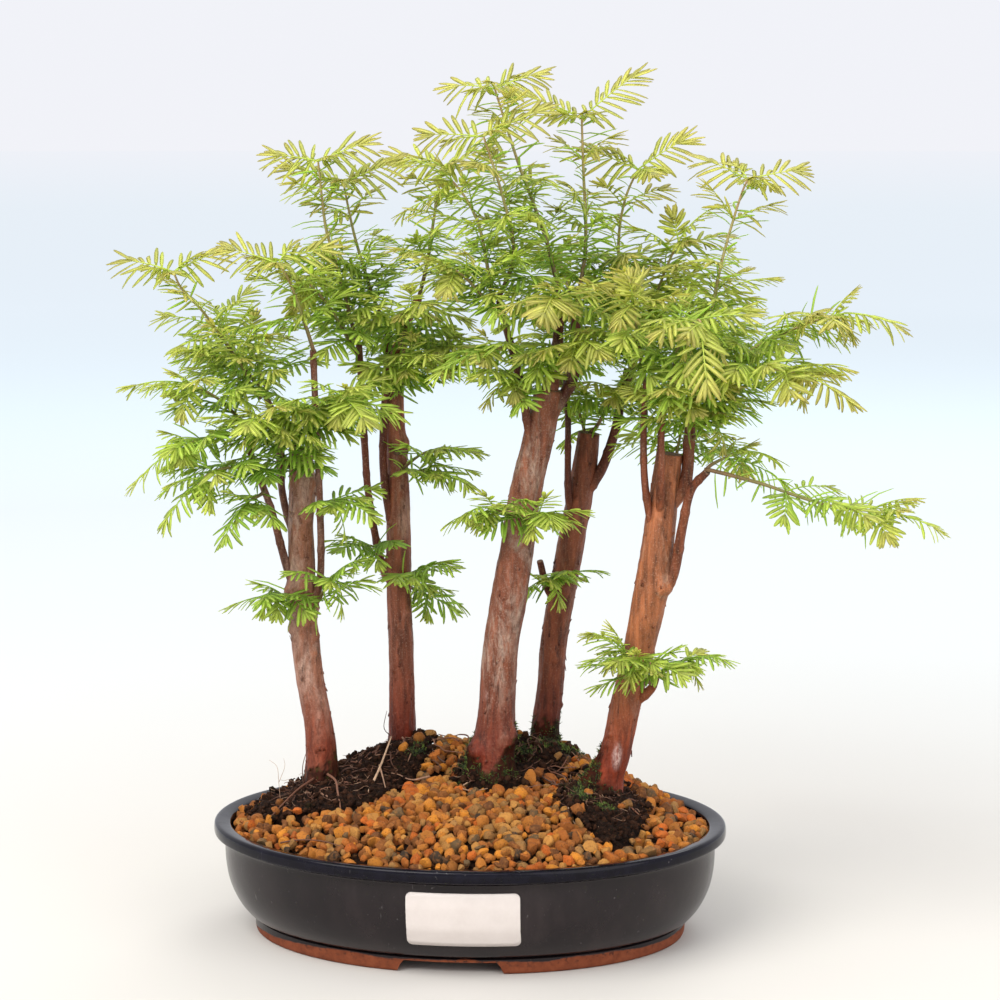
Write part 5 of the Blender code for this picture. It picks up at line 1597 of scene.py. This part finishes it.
def long_needle(foliage, root, way, youth, draw):
    """One of the single, thin, curved needles that grow straight from a stem."""
    way = way.normalized()
    foliage.needle(
        root, way, upright(way, draw.uniform(-1.2, 1.2)), NEEDLE_LENGTH * draw.uniform(0.75, 1.3),
        STEM_NEEDLE_HALF_WIDTH, draw.uniform(0.1, 0.5), youth, draw.random(),
    )


class Shoot:
    """One leafy shoot: a stem from its wood, and what grows on it."""

    def __init__(self, key, route):
        self.key = key
        self.draw = random.Random("look shoot_" + key)
        self.foliage = Foliage()
        inside = wood_point(key[0], np.array(route[0], float))
        whole = catmull([inside, *route], STEM_STEP)
        total = STEM_STEP * (len(whole) - 1)
        at = np.linspace(0.0, total, len(whole))

        def line_to(end):
            steps = np.append(np.arange(0.0, end - 0.5, STEM_STEP), end)
            return np.stack([np.interp(steps, at, column) for column in whole.T], 1)

        self.kept = max(SHORTEST_STEM, total - TERMINAL_SPRAY + 2 * TERMINAL_SUNK)
        self.heading = Vector(whole[-1] - whole[-2]).normalized()
        self.leader = self.heading.z > LEADER_STEEP
        self.crown = CROWNS.get(key, CROWN)
        self.end = max(self.kept, total - self.crown[0]) if self.leader else self.kept
        self.line = line_to(self.end)
        self.seated = [Vector(point) for point in line_to(self.kept)]
        self.path = [Vector(point) for point in self.line]
        self.lengths = lengths_along(self.path)
        top = self.line[-1][2]
        self.thin = top < THIN_BELOW
        low_youth, more_above = YOUTH[key[0]]
        self.youngest = low_youth + more_above * smoothstep((top - YOUTH_FROM) / YOUTH_SPAN)

    def pair(self, distance, turn, length):
        """Two seats across this stem."""
        return pair_of_seats(self.path, self.lengths, distance, turn, length, self.draw)

    def seats(self):
        """The seats of its side sprays, with an end spray's where it has no crown."""
        draw = self.draw
        seats = seats_of(self.key, self.seated)
        if self.leader:
            seats = seats[1:]
            opened = sorted({seat[4] for seat in seats if seat[0].z > OPEN_ABOVE})[1::2]
            seats = [seat for seat in seats if seat[4] not in opened]
            above = self.kept + SEAT_STEP
            while above < self.end - CROWN_CLEAR:
                seats += self.pair(above, draw.uniform(0, 3.1), HIGH_SPRAY)
                above += SEAT_STEP * 1.5
        for distance in sorted({seat[4] for seat in seats})[1:]:
            middle = distance - SEAT_STEP / 2
            if self.thin or middle > FILLED_SHARE * self.end:
                break
            turn = math.pi / 4 + draw.choice((0, 1)) * math.pi / 2
            seats += self.pair(middle, turn, SIDE_SPRAY * FILL_SHARE * draw.uniform(0.8, 1.05))
        return seats

    def stem(self):
        """The green stem itself, younger towards its tip."""
        share = np.linspace(0.0, 1.0, len(self.line))
        radii = STEM_RADIUS + (STEM_END_RADIUS - STEM_RADIUS) * share**1.2
        youths = 0.15 + (self.youngest - 0.1) * share
        return stem_part(self.line, radii, STEM_SIDES, youths)

    def add_sprays(self):
        """A spray in every seat, with a single long needle below it."""
        draw = self.draw
        size = THIN_SIZE if self.thin else 1.0
        for root, direction, face, length, distance in self.seats():
            youth = FOOT_YOUTH + (self.youngest - FOOT_YOUTH) * (distance / max(self.kept, 40.0))
            youth += draw.uniform(-0.12, 0.12)
            self.foliage.spray((root, direction, face, length * size), draw, youth, size)
            way = direction - UP * 0.35 + Vector([draw.uniform(-0.3, 0.3) for _ in range(3)])
            long_needle(self.foliage, root, way, youth, draw)

    def add_stem_needles(self):
        """Long needles in twos, straight from the stem."""
        draw = self.draw
        distance = STEM_NEEDLE_STEP
        while distance < self.lengths[-1] - 2.0:
            root = point_at(self.path, self.lengths, distance)
            tangent = (point_at(self.path, self.lengths, distance + 1.0) - root).normalized()
            swing = Matrix.Rotation(draw.uniform(0, 2 * math.pi), 3, tangent)
            out = swing @ tangent.orthogonal().normalized()
            for side in (1, -1):
                way = out * side + tangent * draw.uniform(0.1, 0.8)
                long_needle(self.foliage, root, way, STEM_NEEDLE_YOUTH, draw)
            step = OPEN_NEEDLE_STEP if self.leader and root.z > OPEN_ABOVE else STEM_NEEDLE_STEP
            distance += step * draw.uniform(0.8, 1.2)

    def add_crown(self):
        """The two arching sprays at a leader's tip."""
        draw = self.draw
        _, length, left_lean, right_lean = self.crown
        for side, lean in ((-1, left_lean), (1, right_lean)):
            lean += draw.uniform(-0.05, 0.05)
            way = Vector((side * math.sin(lean), draw.uniform(-0.25, 0.25), math.cos(lean)))
            way.normalize()
            face = upright(way, 0.0) + Vector((0.0, -math.tan(CROWN_ROLL), 0.0))
            seat = (self.path[-1], way, square_to(way, face), length + draw.uniform(-2, 2))
            self.foliage.spray(seat, draw, self.youngest + 0.06, CROWN_NEEDLES, CROWN_DROOP)

    def add_tip(self):
        """Small sprays round the stem's tip."""
        draw = self.draw
        for k in range(TIP_SPRAYS):
            swing = Matrix.Rotation(k * TIP_TURN + draw.uniform(-0.4, 0.4), 3, self.heading)
            side = swing @ self.heading.orthogonal().normalized()
            way = (self.heading * (0.35 if self.leader else 0.65) + side * 0.85).normalized()
            face = upright(way, draw.uniform(-0.4, 0.4))
            seat = (self.path[-1], way, face, draw.uniform(*TIP_LENGTHS))
            self.foliage.spray(seat, draw, self.youngest, TIP_SIZE)


def build_shoot(key, route, leaf, young_stem):
    """Grows one shoot, and makes it one piece with the look of leaves and of a green stem."""
    shoot = Shoot(key, route)
    shoot.add_sprays()
    shoot.add_stem_needles()
    if shoot.leader:
        shoot.add_crown()
    shoot.add_tip()
    green = joined([shoot.foliage.needle_arrays(), *shoot.foliage.ribs])
    stem = shoot.stem()
    points, triangles, tones = joined([green, stem])
    index = np.repeat([0, 1], [len(green[1]), len(stem[1])])
    name = "shoot_" + key
    obj = object_from_arrays(name + "_leaves", points, triangles, [leaf, young_stem], tones, index)
    piece(obj, "needles", *([name] if key in SHOOTS else []))


# Small things on the soil


ROOTLET_SEED = 5
RUNNING_ROOTS = 90
FIBRES = 330
# The trees whose feet the fibres lie at: a letter that stands twice gets twice as many.
FIBRE_FEET = "aabcdee"
# A pale twig that leans on the heap, roots that run from the feet, hairs that stand up, and a
# twig on the grit: points, radius and how pale each is.
LAID_ROOTS = [
    ([(-45, -18, 59), (-45, 0, 62), (-43.4, 20, 67.5), (-42.5, 30, 71.5), (-41.2, 41, 77)], 0.75, 1.0),
    ([(-66, 10, 66), (-61, 2, 65), (-58, -10, 62.5), (-55, -22, 60), (-53.5, -30, 57)], 0.6, 0.62),
    ([(-72, 10, 64), (-77, -2, 62), (-81, -14, 59), (-86, -24, 54)], 0.5, 0.5),
    ([(-44, 22, 68), (-41, 12, 65), (-38, 0, 63)], 0.45, 0.8),
    ([(-33, 50, 73), (-27, 40, 71), (-21, 34, 69)], 0.4, 0.9),
    ([(2, 10, 66), (-4, 4, 63), (2, 0, 62.5), (8, 3, 63)], 0.35, 0.9),
    ([(52, -4, 61), (46, -14, 60), (48, -24, 57), (53, -32, 54)], 0.4, 0.95),
    ([(70, -2, 60), (76, -14, 58), (82, -20, 55)], 0.4, 0.6),
    ([(-77, 9, 61), (-77.3, 9.5, 69.5), (-75.3, 11.5, 77.5)], 0.25, 0.2),
    ([(-86, 0, 56), (-86.6, 0, 64), (-87.5, 1, 71), (-91, 1, 74)], 0.14, 0.9),
    ([(-86.6, 0, 64), (-84, 1, 71), (-84.4, 1, 75)], 0.12, 0.9),
    ([(-42.6, 47, 76), (-45.4, 46, 80), (-44, 46, 88)], 0.22, 0.1),
    ([(-76, -53, 50.5), (-68, -55, 52.5), (-58, -57, 53), (-48, -63, 52.5)], 0.4, 0.35),
]
MOSS_SEED = 12
# Tufts of moss on the soil: x, y, how far they spread and how many blades.
MOSS_TUFTS = [
    (-29, 36, 3.4, 420), (21, 34, 5.0, 200), (-4, 22, 4.0, 260), (31, 44, 6.0, 260),
    (50, 5, 4.5, 460), (50, -6, 4.0, 240), (63, -14, 3.2, 300), (42, 44, 5.0, 160),
]
BLADE_RADIUS = 0.27
BLADE_CORNERS = (0.0, 2.09, 4.19)


def root_part(route, step, radius, taper, sides, pale):
    """One root along a route: (points, triangles, tones)."""
    line = catmull(route, step)
    points, triangles = tube_mesh(line, np.linspace(radius, radius * taper, len(line)), sides)
    return points, triangles, np.full((len(points), 4), pale)


def build_rootlets(finish):
    """Roots that run over the root soil, fine fibres in it, and the roots listed one by one."""
    draw = random.Random(ROOTLET_SEED)
    parts = []
    while len(parts) < RUNNING_ROOTS:
        x0, y0, _, r0 = TRUNKS[draw.choice(list(TRUNKS))][0]
        angle = draw.uniform(0, 2 * math.pi)
        out = draw.uniform(r0, r0 + 16)
        x, y = x0 + out * math.cos(angle), y0 + out * math.sin(angle)
        angle += draw.uniform(-0.9, 0.9)
        route = []
        for _ in range(draw.randint(4, 8)):
            route.append((x, y, float(root_height(x, y)) + draw.uniform(-0.4, 1.5)))
            angle += draw.uniform(-0.6, 0.6)
            x, y = x + 3.4 * math.cos(angle), y + 3.4 * math.sin(angle)
        if depth_in_patches(x, y) >= -1.0:
            radius = draw.uniform(0.16, 0.5)
            parts.append(root_part(route, 1.5, radius, 0.45, 6, draw.uniform(0.0, 0.75)))
    while len(parts) < RUNNING_ROOTS + FIBRES:
        x0, y0, _, r0 = TRUNKS[draw.choice(FIBRE_FEET)][0]
        x, y = x0 + draw.gauss(0.0, 15.0), y0 - 6.0 + draw.gauss(0.0, 15.0)
        if depth_in_patches(x, y) < 0.0 or math.hypot(x - x0, y - y0) < r0:
            continue
        z = float(root_height(x, y)) + draw.uniform(-0.5, 1.4)
        heading = draw.uniform(0, 2 * math.pi)
        route = []
        for _ in range(4):
            route.append((x, y, z))
            heading += draw.uniform(-1.2, 1.2)
            x, y = x + 2.0 * math.cos(heading), y + 2.0 * math.sin(heading)
            z += draw.uniform(-1.0, 1.3)
        radius = draw.uniform(0.09, 0.17)
        parts.append(root_part(route, 1.3, radius, 0.6, 4, draw.uniform(0.25, 0.9)))
    for route, radius, pale in LAID_ROOTS:
        parts.append(root_part(route, 1.5, radius, 0.5, 8, pale))
    points, triangles, tones = joined(parts)
    piece(object_from_arrays("rootlets", points, triangles, [finish], tones), "root_soil")


def build_moss(finish, climbing):
    """Tufts of moss at the trunks' feet: short leaning blades, close together. climbing holds
    the places and ways out of the moss that climbs the bark."""
    draw = np.random.default_rng(MOSS_SEED)
    flat = np.concatenate([
        np.stack([draw.normal(x, spread * 0.6, count), draw.normal(y, spread * 0.6, count)], 1)
        for x, y, spread, count in MOSS_TUFTS
    ])
    z = root_height(flat[:, 0], flat[:, 1]) - 0.3 + draw.uniform(0.0, 1.1, len(flat))
    base = np.concatenate([np.column_stack([flat, z]), *[places for places, _ in climbing]])
    ways = np.concatenate([np.tile(tuple(UP), (len(flat), 1)), *[out for _, out in climbing]])
    count = len(base)
    lean = unit(draw.normal(size=(count, 3)) * 0.6 + ways)
    tip = base + lean * draw.uniform(0.8, 2.3, (count, 1))
    side = unit(np.cross(lean, draw.normal(size=(count, 3))))
    other = np.cross(lean, side)
    corners = [
        base + BLADE_RADIUS * (math.cos(angle) * side + math.sin(angle) * other)
        for angle in BLADE_CORNERS
    ]
    points = np.stack([*corners, tip], 1).reshape(-1, 3)
    faces = np.array([(0, 1, 3), (1, 2, 3), (2, 0, 3), (2, 1, 0)])
    triangles = (faces[None] + (np.arange(count) * 4)[:, None, None]).reshape(-1, 3)
    tones = np.ones((len(points), 4))
    tones[:, 0] = np.repeat(draw.uniform(0.0, 1.0, count), 4)
    tones[:, 1] = np.tile((0.0, 0.0, 0.0, 1.0), count)
    piece(object_from_arrays("moss", points, triangles, [finish], tones), "root_soil")


# Camera, light and floor


def set_camera():
    """The camera at the photograph's angle, and a plain view transform."""
    camera = bpy.data.objects.new("camera", bpy.data.cameras.new("camera"))
    bpy.context.scene.collection.objects.link(camera)
    camera.location = placed([CAMERA_PLACE])[0]
    camera.rotation_euler = (math.radians(CAMERA_PITCH), 0.0, math.radians(CAMERA_HEADING))
    camera.data.lens = CAMERA_LENS
    camera.data.sensor_width = CAMERA_SENSOR
    camera.data.clip_end = 100.0
    bpy.context.scene.camera = camera
    bpy.context.scene.view_settings.view_transform = "Standard"


def add_light(name, place, size, watts, colour, strip):
    """A soft lamp that looks at the middle of the trees: a disk, or a strip of that height."""
    lamp = bpy.data.lights.new(name, "AREA")
    lamp.shape = "RECTANGLE" if strip else "DISK"
    lamp.size = size
    lamp.size_y = strip or size
    lamp.energy = watts
    lamp.color = colour
    obj = bpy.data.objects.new(name, lamp)
    obj.location = place
    aim = Vector(LAMP_AIM) - Vector(place)
    obj.rotation_euler = aim.to_track_quat("-Z", "Y").to_euler()
    bpy.context.scene.collection.objects.link(obj)


def build_floor():
    """A wide pale disk, a little bluer far away."""
    bm = bmesh.new()
    bmesh.ops.create_circle(bm, cap_ends=True, segments=128, radius=FLOOR_RADIUS)
    nodes = Nodes("studio_floor")
    away = nodes.add("ShaderNodeVectorMath", operation="LENGTH")
    nodes.link(nodes.place(), away.inputs[0])
    away = away.outputs["Value"]
    share = nodes.math("DIVIDE", away, nodes.math("ADD", away, FLOOR_HALFWAY))
    colour = nodes.ramp(
        share, (0.0, (0.56, 0.535, 0.505)), (0.15, (0.59, 0.57, 0.535)),
        (0.38, (0.62, 0.645, 0.64)), (0.50, (0.65, 0.70, 0.715)), (0.62, (0.75, 0.85, 0.89)),
        (0.75, (0.875, 0.95, 0.985)), (0.88, (0.91, 0.97, 0.99)), (0.97, (0.99, 0.995, 1.0)),
    )
    nodes.surface(colour, 0.9, 0.0)
    floor = object_from_bmesh("studio_floor", bm, [nodes.material])


def set_light():
    """A pale sky, and the lamps."""
    world = bpy.data.worlds.new("studio")
    world.use_nodes = True
    background = world.node_tree.nodes["Background"]
    background.inputs["Color"].default_value = SKY
    background.inputs["Strength"].default_value = SKY_STRENGTH
    bpy.context.scene.world = world
    for name, *settings in LAMPS:
        add_light(name, *settings)


def main():
    """Builds everything."""
    set_camera()
    build_tray(glaze_material())
    build_label(card_material())
    build_soil(soil_material())
    build_grit(grit_material())
    sawn = sawn_material()
    climbing = [build_trunk(tree, sawn) for tree in TRUNKS]
    leaf, young_stem = leaf_material("needles", 0.48, 0.42), stem_material()
    for key, route in {**SHOOTS, **EXTRA_SHOOTS}.items():
        build_shoot(key, route, leaf, young_stem)
    build_rootlets(rootlet_material())
    build_moss(moss_material(), climbing)
    build_floor()
    set_light()


main()
